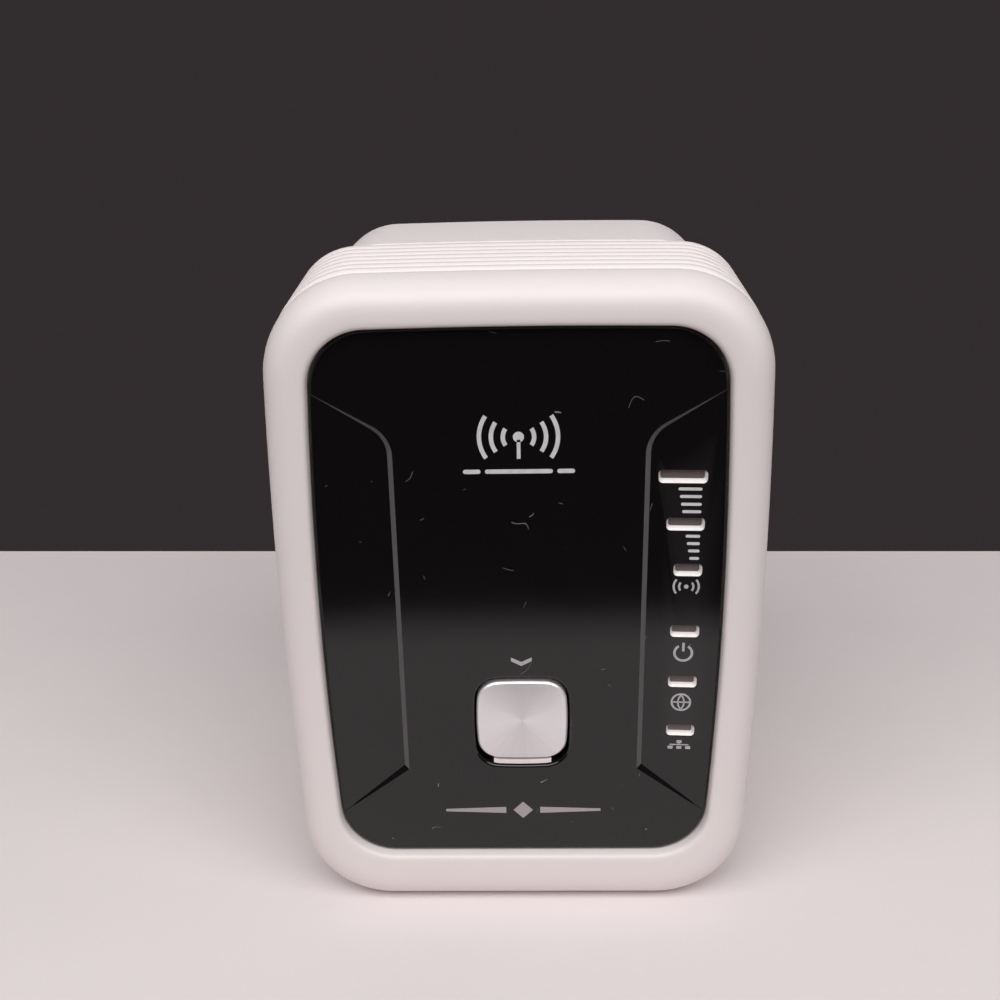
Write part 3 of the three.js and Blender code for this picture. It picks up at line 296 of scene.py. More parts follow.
def widened(points, distance):
    """A closed outline moved outwards by a distance, with mitred corners."""
    moved = []
    for i, (x, z) in enumerate(points):
        before = Vector((x - points[i - 1][0], z - points[i - 1][1])).normalized()
        after = points[(i + 1) % len(points)]
        after = Vector((after[0] - x, after[1] - z)).normalized()
        normal = Vector((before.y + after.y, -before.x - after.x)).normalized()
        reach = distance / max(0.3, normal.dot(Vector((before.y, -before.x))))
        moved.append((x + normal.x * reach, z + normal.y * reach))
    return moved


# ---------------------------------------------------------------------------
# Solids
# ---------------------------------------------------------------------------


def make_object(name, points, faces):
    mesh = bpy.data.meshes.new(name)
    mesh.from_pydata([place(*p) for p in points], [], faces)
    mesh.validate()
    shape = bmesh.new()
    shape.from_mesh(mesh)
    bmesh.ops.recalc_face_normals(shape, faces=shape.faces)
    shape.to_mesh(mesh)
    shape.free()
    obj = bpy.data.objects.new(name, mesh)
    bpy.context.scene.collection.objects.link(obj)
    return obj


def skin(name, rings, looped=False):
    """Joins rings of 3-D points. An open list gets a flat cap at each end."""
    count = len(rings[0])
    points = [p for ring in rings for p in ring]
    faces = []
    for r in range(len(rings) if looped else len(rings) - 1):
        near, far = r * count, (r + 1) % len(rings) * count
        for i in range(count):
            after = (i + 1) % count
            faces.append((near + i, far + i, far + after, near + after))
    if not looped:
        faces.append(tuple(range(count)))
        faces.append(tuple(reversed(range(len(points) - count, len(points)))))
    return make_object(name, points, faces)


def loft(name, rings, looped=False):
    """Rings are (outline, y), where y is a number or a function of x."""
    return skin(
        name,
        [[(x, y(x) if callable(y) else y, z) for x, z in outline] for outline, y in rings],
        looped,
    )


def prism(outline, y0, y1, name="tool"):
    return loft(name, [(outline, y0), (outline, y1)])


def block(low, high, name="tool"):
    (x0, y0, z0), (x1, y1, z1) = low, high
    return prism([(x1, z0), (x1, z1), (x0, z1), (x0, z0)], y0, y1, name)


def prism_along_x(outline, x0, x1):
    """A tool whose outline is drawn in y and z."""
    return skin("tool", [[(x, y, z) for y, z in outline] for x in sorted((x0, x1))])


def local_box(node):
    """The lowest and highest corner of a CAD body, in the drawing frame."""
    return [(corner - ZERO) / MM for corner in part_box(node)]


def bake(obj):
    """Applies the modifiers to the mesh."""
    graph = bpy.context.evaluated_depsgraph_get()
    mesh = bpy.data.meshes.new_from_object(obj.evaluated_get(graph))
    obj.modifiers.clear()
    obj.data = mesh
    return obj


def combine(obj, tools, operation="DIFFERENCE"):
    for tool in tools:
        modifier = obj.modifiers.new("combine", "BOOLEAN")
        modifier.operation = operation
        modifier.solver = "MANIFOLD"
        modifier.object = tool
    bake(obj)
    for tool in tools:
        bpy.data.objects.remove(tool)
    return obj


def round_edges(obj, width):
    modifier = obj.modifiers.new("round_edges", "BEVEL")
    modifier.width = width * MM
    modifier.segments = 2
    modifier.limit_method = "ANGLE"
    modifier.angle_limit = math.radians(35)
    return obj


def show(obj, body, materials, stands_for=(), sharp=38):
    """Shades a finished piece and fixes it to its CAD body."""
    obj.data.shade_smooth()
    obj.data.set_sharp_from_angle(angle=math.radians(sharp))
    if not isinstance(materials, (list, tuple)):
        materials = [materials]
    while len(obj.data.materials) < len(materials):
        obj.data.materials.append(None)
    for i, material in enumerate(materials):
        obj.data.materials[i] = material
    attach(obj, body)
    if stands_for:
        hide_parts(*stands_for)
    return obj


# ---------------------------------------------------------------------------
# Surfaces
# ---------------------------------------------------------------------------


class Surface:
    """A material's node tree, with coordinates in millimetres of the row frame."""

    def __init__(self, name):
        self.material = bpy.data.materials.new(name)
        self.material.use_nodes = True
        self.tree = self.material.node_tree
        self.tree.nodes.clear()
        coordinates = self.add("TexCoord", output="Object")
        self.mm = self.add(
            "VectorMath", props={"operation": "SCALE"}, Vector=coordinates, Scale=1 / MM
        )

    def add(self, kind, output=0, props=None, **inputs):
        node = self.tree.nodes.new("ShaderNode" + kind)
        for key, value in (props or {}).items():
            setattr(node, key, value)
        for key, value in inputs.items():
            numbered = key[0] == "i" and key[1:].isdigit()
            socket = node.inputs[int(key[1:]) if numbered else key.replace("_", " ")]
            if isinstance(value, bpy.types.NodeSocket):
                self.tree.links.new(value, socket)
            else:
                socket.default_value = value
        return node.outputs[output] if len(node.outputs) else None

    def math(self, operation, a, b=0.0):
        return self.add("Math", props={"operation": operation}, i0=a, i1=b)

    def noise(self, size, detail=2.0, vector=None):
        """Soft noise whose lumps are about size millimetres across."""
        return self.add("TexNoise", Vector=vector or self.mm, Scale=1 / size, Detail=detail)

    def remap(self, value, low, high, to_low=0.0, to_high=1.0):
        return self.add(
            "MapRange", Value=value, From_Min=low, From_Max=high, To_Min=to_low, To_Max=to_high
        )

    def mix(self, factor, a, b):
        return self.add("Mix", output=2, props={"data_type": "RGBA"}, i0=factor, i6=a, i7=b)

    def stretch(self, x, y, z):
        return self.add("Mapping", Vector=self.mm, Scale=(x, y, z))

    def edges(self, low=0.515, high=0.56):
        """White along outward edges, from the shape itself."""
        return self.remap(self.add("NewGeometry", output="Pointiness"), low, high)

    def bump(self, height, depth, normal=None):
        inputs = {"Height": height, "Distance": depth * MM, "Strength": 1.0}
        if normal is not None:
            inputs["Normal"] = normal
        return self.add("Bump", **inputs)

    def finish(self, **inputs):
        shader = self.add("BsdfPrincipled", **inputs)
        self.add("OutputMaterial", Surface=shader)
        return self.material


def rgb(red, green, blue):
    return (red, green, blue, 1.0)


def shaded(colour, factor):
    return (*(min(1.0, c * factor) for c in colour[:3]), 1.0)


def moulded(name, colour, roughness, grain=0.35, depth=0.006, spread=0.03, worn=1.12, **extra):
    """Moulded plastic or rubber: fine grain, uneven sheen, paler worn edges."""
    s = Surface(name)
    patch = s.noise(1.6, 3)
    tone = s.mix(s.noise(14, 4), shaded(colour, 1 - spread), shaded(colour, 1 + spread))
    wear = s.math("MULTIPLY", s.edges(), s.remap(patch, 0.4, 0.65))
    tone = s.mix(wear, tone, shaded(colour, worn))
    sheen = s.remap(patch, 0.3, 0.7, roughness - 0.05, roughness + 0.05)
    relief = s.bump(s.noise(grain, 2), depth)
    return s.finish(Base_Color=tone, Roughness=sheen, Normal=relief, **extra)


def metal(name, colour, roughness, grain=(1, 1, 1), size=0.3, depth=0.002):
    """Plated or tinned metal with drawing lines, stains and brighter edges."""
    s = Surface(name)
    lines = s.noise(size, 3, s.stretch(*grain))
    stain = s.noise(2.5, 4)
    tone = s.mix(s.remap(stain, 0.35, 0.7), shaded(colour, 0.86), colour)
    tone = s.mix(s.edges(), tone, shaded(colour, 1.15))
    sheen = s.remap(lines, 0.3, 0.7, roughness - 0.06, roughness + 0.08)
    relief = s.bump(lines, depth)
    return s.finish(Base_Color=tone, Roughness=sheen, Normal=relief, Metallic=1.0)


def dust(s, size, share, radius):
    """Scattered specks: in cells of a size, a share of them hold one of up to that radius."""
    props = {"feature": "F1", "distance": "EUCLIDEAN"}
    distance = s.add("TexVoronoi", "Distance", props, Vector=s.mm, Scale=1 / size)
    chance = s.add("TexVoronoi", "Color", props, Vector=s.mm, Scale=1 / size)
    reach = s.remap(chance, 1 - share, 1.0, 0.0, radius / size)
    return s.math("LESS_THAN", distance, reach)


def panel_gloss():
    """Black gloss with smudges, specks of dust and a few short fibres."""
    s = Surface("panel_gloss")
    black, pale, worn = rgb(0.0042, 0.0038, 0.0042), rgb(0.34, 0.33, 0.33), rgb(0.05, 0.048, 0.05)
    specks = s.math("MAXIMUM", dust(s, 1.6, 0.16, 0.12), dust(s, 4.8, 0.30, 0.20))
    wander = s.math("SUBTRACT", s.noise(5.5, 0.5), 0.5)
    line = s.math("LESS_THAN", s.math("ABSOLUTE", wander), 0.0022)
    patches = s.math("GREATER_THAN", s.noise(2.6, 1), 0.69)
    marks = s.math("MAXIMUM", specks, s.math("MULTIPLY", line, patches))
    tone = s.mix(s.math("MULTIPLY", marks, 0.6), black, pale)
    tone = s.mix(s.math("MULTIPLY", s.edges(0.53, 0.6), 0.3), tone, worn)
    sheen = s.remap(s.noise(9, 5), 0.35, 0.75, 0.085, 0.125)
    sheen = s.math("ADD", sheen, s.math("MULTIPLY", marks, 0.4))
    relief = s.bump(s.noise(7, 2), 0.002)
    return s.finish(Base_Color=tone, Roughness=sheen, Normal=relief, IOR=1.52)


def spun_metal():
    """Face turned on a lathe: fine rings, and painted highlights in its colour: streaked fans to
    left and right of the middle and a lighter top.
    """
    s = Surface("spun_metal")
    ring_pitch = 0.25
    centre = place(0, 0, BUTTON_Z) / MM
    local = s.add(
        "VectorMath", props={"operation": "SUBTRACT"}, i0=s.mm, i1=(centre.x, 0.0, centre.z)
    )
    x = s.add("SeparateXYZ", output="X", Vector=local)
    z = s.add("SeparateXYZ", output="Z", Vector=local)
    radius = s.math("SQRT", s.math("ADD", s.math("MULTIPLY", x, x), s.math("MULTIPLY", z, z)))
    angle = s.math("ARCTAN2", z, x)
    # Painted highlight: the colour is lighter in streaked fans to the left and right of the
    # middle, and towards the top.
    painted_fans = s.remap(s.math("COSINE", s.math("MULTIPLY", angle, 2.0)), -1.0, 1.0)
    streak_at = s.add("CombineXYZ", X=s.math("COSINE", angle), Y=s.math("SINE", angle))
    streaks = s.add("TexNoise", Vector=streak_at, Scale=9.0, Detail=3.0)
    painted_highlight = s.math("ADD", s.math("MULTIPLY", painted_fans, 0.8), s.math("MULTIPLY", streaks, 0.4))
    painted_highlight = s.math("ADD", painted_highlight, s.remap(z, 0.0, BUTTON_HEIGHT / 2, 0.0, 0.35))
    tone = s.mix(painted_highlight, rgb(0.70, 0.665, 0.68), rgb(0.94, 0.90, 0.91))
    grooves = s.math("SINE", s.math("MULTIPLY", radius, 2 * math.pi / ring_pitch))
    uneven = s.add("TexNoise", Vector=s.add("CombineXYZ", X=radius), Scale=6.0, Detail=2.0)
    height = s.math("MULTIPLY", grooves, s.remap(uneven, 0.3, 0.7, 0.4, 1.0))
    sheen = s.remap(uneven, 0.3, 0.7, 0.34, 0.44)
    tangent = s.add("Tangent", props={"direction_type": "RADIAL", "axis": "Y"})
    return s.finish(
        Base_Color=tone,
        Metallic=0.55,
        Roughness=sheen,
        Anisotropic=0.55,
        Tangent=tangent,
        Normal=s.bump(height, 0.0016),
    )


def circuit_board():
    """Green solder mask over copper tracks, with pale pads."""
    s = Surface("circuit_board")
    props = {"feature": "DISTANCE_TO_EDGE"}
    stepped = s.add("VectorMath", props={"operation": "SNAP"}, i0=s.mm, i1=(0.5, 0.5, 0.5))
    track = s.add("TexVoronoi", "Distance", props, Vector=stepped, Scale=0.22)
    tracks = s.remap(track, 0.05, 0.09)
    tone = s.mix(tracks, rgb(0.055, 0.24, 0.10), rgb(0.02, 0.12, 0.05))
    tone = s.mix(dust(s, 1.9, 0.35, 0.5), tone, rgb(0.62, 0.60, 0.55))
    tone = s.mix(s.edges(), tone, rgb(0.55, 0.50, 0.30))
    sheen = s.remap(s.noise(4, 3), 0.3, 0.7, 0.32, 0.48)
    return s.finish(Base_Color=tone, Roughness=sheen, Normal=s.bump(tracks, 0.03))


def banded(name, colour, other, roughness, pitch, axis):
    """Wound or wrapped parts: turns along one axis."""
    s = Surface(name)
    along = s.add("SeparateXYZ", output=axis, Vector=s.mm)
    waves = s.math("SINE", s.math("MULTIPLY", along, 2 * math.pi / pitch))
    tone = s.mix(s.remap(waves, 0.6, 1.0), colour, other)
    tone = s.mix(s.math("MULTIPLY", s.noise(3, 4), 0.35), tone, shaded(colour, 0.6))
    sheen = s.remap(s.noise(2, 2), 0.3, 0.7, roughness - 0.07, roughness + 0.07)
    return s.finish(Base_Color=tone, Roughness=sheen, Normal=s.bump(waves, 0.04))


WHITE = rgb(0.81, 0.735, 0.73)
white_shell = moulded("white_shell", WHITE, 0.42, 0.42, depth=0.010, spread=0.012, worn=1.05)
white_inner = moulded("white_inner", WHITE, 0.36, 0.3, depth=0.005, spread=0.02, worn=1.05)
black_gloss = panel_gloss()
black_satin = moulded("black_satin", rgb(0.10, 0.093, 0.095), 0.38, 0.3, depth=0.003, worn=1.5)
guide_rim = moulded(
    "guide_rim", rgb(0.86, 0.82, 0.81), 0.3, 0.25, depth=0.004, spread=0.02, IOR=1.49
)
# The core's dark grey-brown is painted shade: the shadow in the recess and the dark inside seen
# through the translucent guide.
guide_core_painted_shade = moulded(
    "guide_core_painted_shade", rgb(0.16, 0.125, 0.125), 0.45, 0.2, depth=0.01, spread=0.15, IOR=1.49
)
spun = spun_metal()
print_white = moulded("print_white", rgb(0.60, 0.585, 0.60), 0.5, 0.2, depth=0.004, spread=0.06)
print_pale = moulded("print_pale", rgb(0.43, 0.415, 0.43), 0.5, 0.2, depth=0.004, spread=0.08)
print_silver = metal("print_silver", rgb(0.42, 0.40, 0.41), 0.38, size=0.15)
board = circuit_board()
component = moulded("component", rgb(0.022, 0.022, 0.024), 0.5, grain=0.22, depth=0.01, worn=2.2)
tinned = metal("tinned_steel", rgb(0.64, 0.63, 0.62), 0.3, grain=(1, 1, 0.12))
gold = metal("gold_plate", rgb(0.80, 0.58, 0.24), 0.25, grain=(1, 1, 0.15), size=0.2)
nickel = metal("nickel", rgb(0.74, 0.71, 0.66), 0.2, grain=(1, 0.08, 1), size=0.25, depth=0.0015)
copper = metal("copper_foil", rgb(0.74, 0.42, 0.25), 0.32, grain=(1, 0.2, 1))
led_resin = moulded("led_resin", rgb(0.84, 0.79, 0.55), 0.22, spread=0.08, Coat_Weight=0.3)
tape = banded("transformer_tape", rgb(0.78, 0.55, 0.10), rgb(0.62, 0.40, 0.06), 0.35, 4.5, "Y")
sleeve = banded("capacitor_sleeve", rgb(0.03, 0.05, 0.09), rgb(0.30, 0.32, 0.34), 0.3, 12, "Y")
grey_cable = moulded("grey_cable", rgb(0.28, 0.28, 0.29), 0.45, grain=0.5, worn=1.3)
red_wire = moulded("red_wire", rgb(0.50, 0.04, 0.03), 0.42, grain=0.5, worn=1.3)
black_wire = moulded("black_wire", rgb(0.02, 0.02, 0.02), 0.45, grain=0.5, worn=2.0)


def label_film():
    """Blank silvery film with a faint brushed grain and a thin printed border."""
    s = Surface("label_film")
    middle = place(LABEL["x"], 0, LABEL["z"]) / MM
    local = s.add(
        "VectorMath", props={"operation": "SUBTRACT"}, i0=s.mm, i1=(middle.x, 0.0, middle.z)
    )
    gaps = []
    for axis, size in (("X", LABEL["width"]), ("Z", LABEL["height"])):
        along = s.math("ABSOLUTE", s.add("SeparateXYZ", output=axis, Vector=local))
        gaps.append(s.math("SUBTRACT", size / 2 - 1.2, along))
    inset = s.math("MINIMUM", *gaps)
    border = s.math("LESS_THAN", s.math("ABSOLUTE", inset), 0.12)
    grain = s.noise(0.4, 3, s.stretch(0.05, 1, 1))
    tone = s.mix(grain, rgb(0.66, 0.66, 0.65), rgb(0.76, 0.76, 0.75))
    tone = s.mix(border, tone, rgb(0.08, 0.08, 0.085))
    sheen = s.remap(grain, 0.3, 0.7, 0.38, 0.5)
    return s.finish(Base_Color=tone, Roughness=sheen, Normal=s.bump(grain, 0.004))


label_surface = label_film()

# ---------------------------------------------------------------------------
# Front shell
# ---------------------------------------------------------------------------


def superellipse(steps, roundness):
    """(sideways, backwards) shares along a quarter curve from its crest."""
    for i in range(steps + 1):
        angle = math.pi / 2 * i / steps
        yield (
            math.sin(angle) ** (2 / roundness),
            1 - max(0.0, math.cos(angle)) ** (2 / roundness),
        )


def post(x, z, radius, y0, y1):
    return prism(circle(x, z, radius), y0, y1)


def button_outline(side=0.0, above=0.0, below=0.0):
    """The button's bowed outline, widened at the sides, above and below."""
    points = bowed_outline(
        BUTTON_WIDTH / 2 + side,
        BUTTON_HEIGHT / 2 + above,
        BUTTON_HEIGHT / 2 + below,
        BUTTON_CORNER + side,
        *BUTTON_BOWS,
    )
    return [(x, z + BUTTON_Z) for x, z in points]


def well_outline(margin=0.0):
    return button_outline(*(gap + margin for gap in WELL_GAPS))


def window_outline(x, z, width, side=0.0, above=0.0, below=0.0):
    """An indicator window's outline, narrowed at the sides, above and below."""
    corner = max(0.2, WINDOW_CORNER - (above + below) / 2)
    middle = z + (below - above) / 2
    height = WINDOW_HEIGHT - above - below
    return rounded_rectangle(x, middle, width - 2 * side, height, corner, 6)


def build_front_shell():
    """A rounded frame with a pocket for the panel and a tongue that enters the housing."""
    pocket_floor = PANEL_THICKNESS + CLEARANCE
    lip_y = -0.1
    back_edge = 0.25
    rings = [(panel_offset(CLEARANCE), pocket_floor)]
    lip = [
        (CREST_OFFSET - (CREST_OFFSET - CLEARANCE) * out, CREST_Y + (lip_y - CREST_Y) * back)
        for out, back in superellipse(6, 3.5)
    ]
    rings += [(panel_offset(offset), y) for offset, y in lip[:0:-1]]
    width = FRAME_WIDTH - CREST_OFFSET
    depth = FRAME_BACK_Y - back_edge - CREST_Y
    for out, back in superellipse(26, FRAME_ROUNDNESS):
        below = (1 - (1 - back) ** FRAME_ROUNDNESS) ** (1 / CHIN_ROUNDNESS)
        drop = CHIN * below + width * (below - out)
        rings.append((panel_offset(CREST_OFFSET + width * out, drop), CREST_Y + depth * back))
    for i in (1, 2, 3):
        turn = math.pi / 6 * i
        offset = FRAME_WIDTH - back_edge * (1 - math.cos(turn))
        y = FRAME_BACK_Y - back_edge * (1 - math.sin(turn))
        rings.append((panel_offset(offset, CHIN), y))
    tongue_offset = FRAME_WIDTH - WALL - CLEARANCE
    tongue_outside = panel_offset(tongue_offset, CHIN)
    tongue_inside = panel_offset(tongue_offset - TONGUE_WALL, CHIN)
    tongue_end = FRAME_BACK_Y + TONGUE_LENGTH
    rings += [(tongue_outside, FRAME_BACK_Y), (tongue_outside, tongue_end)]
    rings += [(tongue_inside, tongue_end), (tongue_inside, SHELL_FLOOR_BACK_Y)]
    shell = loft("shell_front", rings)
    combine(
        shell,
        [post(x, z, POST_RADIUS, SHELL_FLOOR_BACK_Y - 0.5, POST_JOINT_Y) for x, z in SCREW_POSTS],
        "UNION",
    )
    through = (pocket_floor - 1, SHELL_FLOOR_BACK_Y + 1)
    cuts = [prism(well_outline(COLLAR_WALL + CLEARANCE), *through)]
    cuts += [prism(window_outline(x, z, width), *through) for _, x, z, width in WINDOWS]
    bore = (SHELL_FLOOR_BACK_Y + 4, POST_JOINT_Y + 1)
    cuts += [post(x, z, SCREW_HOLE_RADIUS, *bore) for x, z in SCREW_POSTS]
    combine(shell, cuts)
    show(shell, "chassis", white_shell, ["front_shell"])


# ---------------------------------------------------------------------------
# Front panel, with its two sunken wings
# ---------------------------------------------------------------------------


def wing_depth(x):
    """How far the wing's floor lies behind the panel's face."""
    return WING_DEPTH * (PANEL_HALF_WIDTH - abs(x)) / (PANEL_HALF_WIDTH - WING_INNER_X)


def wing_outline():
    """The right wing: its upper inner corner is rounded, its lower one is sharp."""
    run = WING_OUTER_X - WING_INNER_X
    points = [
        (WING_OUTER_X, WING_LOWER_Z + WING_LOWER_SLOPE * run),
        (WING_OUTER_X, WING_UPPER_Z + WING_UPPER_SLOPE * run),
    ]
    bend = math.pi / 2 - math.atan(WING_UPPER_SLOPE)
    x = WING_INNER_X + WING_CORNER
    z = WING_UPPER_Z - WING_CORNER * math.tan(bend / 2)
    for i in range(13):
        angle = math.pi - bend * (1 - i / 12)
        points.append((x + WING_CORNER * math.cos(angle), z + WING_CORNER * math.sin(angle)))
    points.append((WING_INNER_X, WING_LOWER_Z))
    return points


def wing_tool():
    """Cuts the right wing: slanted walls, trimmed by a block with a sloping back."""
    slope = WING_WALL_WIDTH / WING_DEPTH
    wing = loft("tool", [(widened(wing_outline(), -slope * y), y) for y in (-0.8, 1.1)])
    near_x, far_x, front = 14, 33, -3
    section = [(near_x, front), (far_x, front)]
    section += [(far_x, wing_depth(far_x)), (near_x, wing_depth(near_x))]
    trim = skin("tool", [[(x, y, z) for x, y in section] for z in (-45, 45)])
    return combine(wing, [trim], "INTERSECT")


def mirrored(obj):
    """Turned into its mirror image at x = 0."""
    obj.data.transform(Matrix.Scale(-1, 4, (1, 0, 0)))
    obj.data.flip_normals()
    return obj


def well_tool():
    """Cuts the button's opening, with a rounded rim."""
    rim = 0.45
    rings = [(well_outline(rim), -1.0)]
    for i in range(6):
        turn = math.pi / 10 * i
        rings.append((well_outline(rim * (1 - math.sin(turn))), rim * (1 - math.cos(turn))))
    rings.append((well_outline(), SHELL_FLOOR_BACK_Y + 1))
    return loft("tool", rings)


def pry_notch_tool():
    """Cuts a shallow notch in the middle of the bottom edge."""
    half_width = 8.1
    section = ((-1.0, -40.2), (0.55, -41.5), (0.55, -42.0), (-1.0, -42.0))
    return skin("tool", [[(x, y, z) for y, z in section] for x in (-half_width, half_width)])


def build_front_panel():
    """A glossy plate with a collar behind the button's opening."""
    edge = 0.35
    rings = []
    for i in range(6):
        turn = math.pi / 10 * i
        rings.append((panel_offset(-edge * (1 - math.sin(turn))), edge * (1 - math.cos(turn))))
    rings.append((panel_offset(0), PANEL_THICKNESS))
    plate = loft("panel_front", rings)
    collar = prism(well_outline(COLLAR_WALL), PANEL_THICKNESS - 0.5, SHELL_FLOOR_BACK_Y)
    combine(plate, [collar], "UNION")
    cuts = [wing_tool(), mirrored(wing_tool()), well_tool()]
    for _, x, z, width in WINDOWS:
        cuts.append(prism(window_outline(x, z, width), -1, PANEL_THICKNESS + 1))
    cuts.append(pry_notch_tool())
    combine(plate, cuts)
    show(plate, "chassis", [black_gloss, black_satin], ["front_panel"], sharp=24)
    # The wings' slanted inner and upper walls are satin.
    for face in plate.data.polygons:
        x, y, z = (face.center - ZERO) / MM
        near_wall = WING_INNER_X - 1.2 < abs(x) < 26.5 and -27 < z < 36 and 0 < y < WING_DEPTH
        if near_wall and -0.9 < face.normal.y < -0.3:
            face.material_index = 1
    weighted = plate.modifiers.new("even_normals", "WEIGHTED_NORMAL")
    weighted.keep_sharp = True


# ---------------------------------------------------------------------------
# Pairing button and indicator windows
# ---------------------------------------------------------------------------


def build_button():
    """A metal cap with rounded edges. The carrier behind it keeps its CAD shape."""
    low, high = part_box("wps_button_cap")
    front = (low.y - ZERO.y) / MM
    back = (high.y - ZERO.y) / MM
    profile = (
        (0.30, front),
        (0.24, front + 0.02),
        (0.06, front + 0.20),
        (0.0, front + 0.30),
        (0.0, back - 0.1),
        (0.1, back),
    )
    cap = loft("button_cap", [(button_outline(-inset, -inset, -inset), y) for inset, y in profile])
    show(cap, "wps_button", spun, ["wps_button_cap"], sharp=20)
    round_edges(nodes["wps_button_carrier"], 0.12)


# Rings of a light-guide column: how far they lie inside the window at the sides, above and
# below, and how deep they lie behind the wing's floor. The first one is the core's face, painted
# dark as shade.
CORE_DEPTH = 0.85
COLUMN_RINGS = (
    ((0.38, 0.10, 0.55), CORE_DEPTH),
    ((0.10, 0.07, 0.10), 0.10),
    ((0.05, 0.05, 0.05), 0.14),
    ((0.04, 0.04, 0.04), 0.30),
)


def build_light_guide():
    """One column in each window, joined by a spine, with stubs that reach back to the LEDs."""
    columns = []
    for _, x, z, width in WINDOWS:
        rings = [
            (window_outline(x, z, width, *insets), lambda x, depth=depth: wing_depth(x) + depth)
            for insets, depth in COLUMN_RINGS
        ]
        rings.append((window_outline(x, z, width, *COLUMN_RINGS[-1][0]), 4.6))
        columns.append(loft("tool", rings))
    guide = columns[0]
    guide.name = "indicator_light_guide"
    back = (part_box("light_guide")[1].y - ZERO.y) / MM
    column_x = 23.5
    spine = block((column_x - 1.5, 4.2, -21.0), (column_x + 1.5, 5.4, 21.1))
    stubs = [
        block((column_x - 0.8, 5.0, z - 0.6), (column_x + 0.8, back, z + 0.6))
        for _, _, z, _ in WINDOWS
    ]
    combine(guide, columns[1:] + [spine] + stubs, "UNION")
    show(guide, "chassis", [guide_rim, guide_core_painted_shade], ["light_guide"], sharp=30)
    # The core's face takes the dark surface, which is painted shade.
    for face in guide.data.polygons:
        x, y, z = (face.center - ZERO) / MM
        if abs(y - wing_depth(x) - CORE_DEPTH) < 0.05 and face.normal.y < -0.9:
            face.material_index = 1


# ---------------------------------------------------------------------------
# Printed marks: plain signs in place of lettering
# ---------------------------------------------------------------------------


def printed(name, outlines, surface, on_wing=False):
    """Thin printed ink, one closed skin for each outline, just proud of the panel."""
    front, back = -0.018, 0.05  # of the ink, measured from the face it is printed on
    points, faces = [], []
    for outline in outlines:
        start, count = len(points), len(outline)
        for y in (front, back):
            points += [(x, (wing_depth(x) if on_wing else 0.0) + y, z) for x, z in outline]
        for i in range(count):
            after = (i + 1) % count
            near, far = start, start + count
            faces.append((near + i, far + i, far + after, near + after))
        faces.append(tuple(range(start, start + count)))
        faces.append(tuple(reversed(range(start + count, start + 2 * count))))
    ink = make_object(name, points, faces)
    show(ink, "chassis", surface, sharp=30)


def stroke(x0, z0, x1, z1, width):
    """A straight stroke with square ends."""
    along = Vector((x1 - x0, z1 - z0)).normalized() * width / 2
    across = Vector((along.y, -along.x))
    return [
        (x0 + across.x, z0 + across.y),
        (x1 + across.x, z1 + across.y),
        (x1 - across.x, z1 - across.y),
        (x0 - across.x, z0 - across.y),
    ]


def ring(x, z, radius, width, start=0, end=360):
    """A ring made of two arcs, so that each is a simple outline."""
    middle = (start + end) / 2
    return [
        arc_band(x, z, radius, width, start, middle),
        arc_band(x, z, radius, width, middle, end),
    ]


def wave_pair(x, z, radius, width, spread, steps=16):
    """Two arcs, one to each side, that reach a number of degrees above and below the level."""
    return [
        arc_band(x, z, radius, width, middle - spread, middle + spread, steps)
        for middle in (0, 180)
    ]


def build_panel_marks():
    # Broadcast sign at the top: a mast with waves to both sides, over a plain rule.
    z = 26.2
    sign = [circle(0, z, 0.75, 24), stroke(0, z - 0.4, 0, 23.1, 0.5)]
    for radius in (2.1, 3.7, 5.3):
        sign += wave_pair(0, z, radius, 0.6, 34)
    printed("mark_broadcast", sign, print_white)
    rule = [capsule(x, 21.3, width, 0.62) for x, width in ((0, 9.2), (-6.4, 2.4), (6.4, 2.4))]
    printed("mark_rule", rule, print_white)
    # Chevron above the button.
    upper = [(1.5, -7.35), (0, -8.1), (-1.5, -7.35)]
    lower = [(-1.5, -7.95), (0, -8.75), (1.5, -7.95)]
    printed("mark_chevron", [upper + lower], print_pale)
    # Plain ornament at the bottom: a diamond between two tapered bars.
    z, near, far = -33.85, 2.6, 11.8
    diamond = [(1.5, z), (0, z + 1.5), (-1.5, z), (0, z - 1.5)]
    bar = [(near, z - 0.55), (far, z - 0.22), (far, z + 0.22), (near, z + 0.55)]
    printed("mark_ornament", [diamond, bar, [(-x, z) for x, z in reversed(bar)]], print_silver)


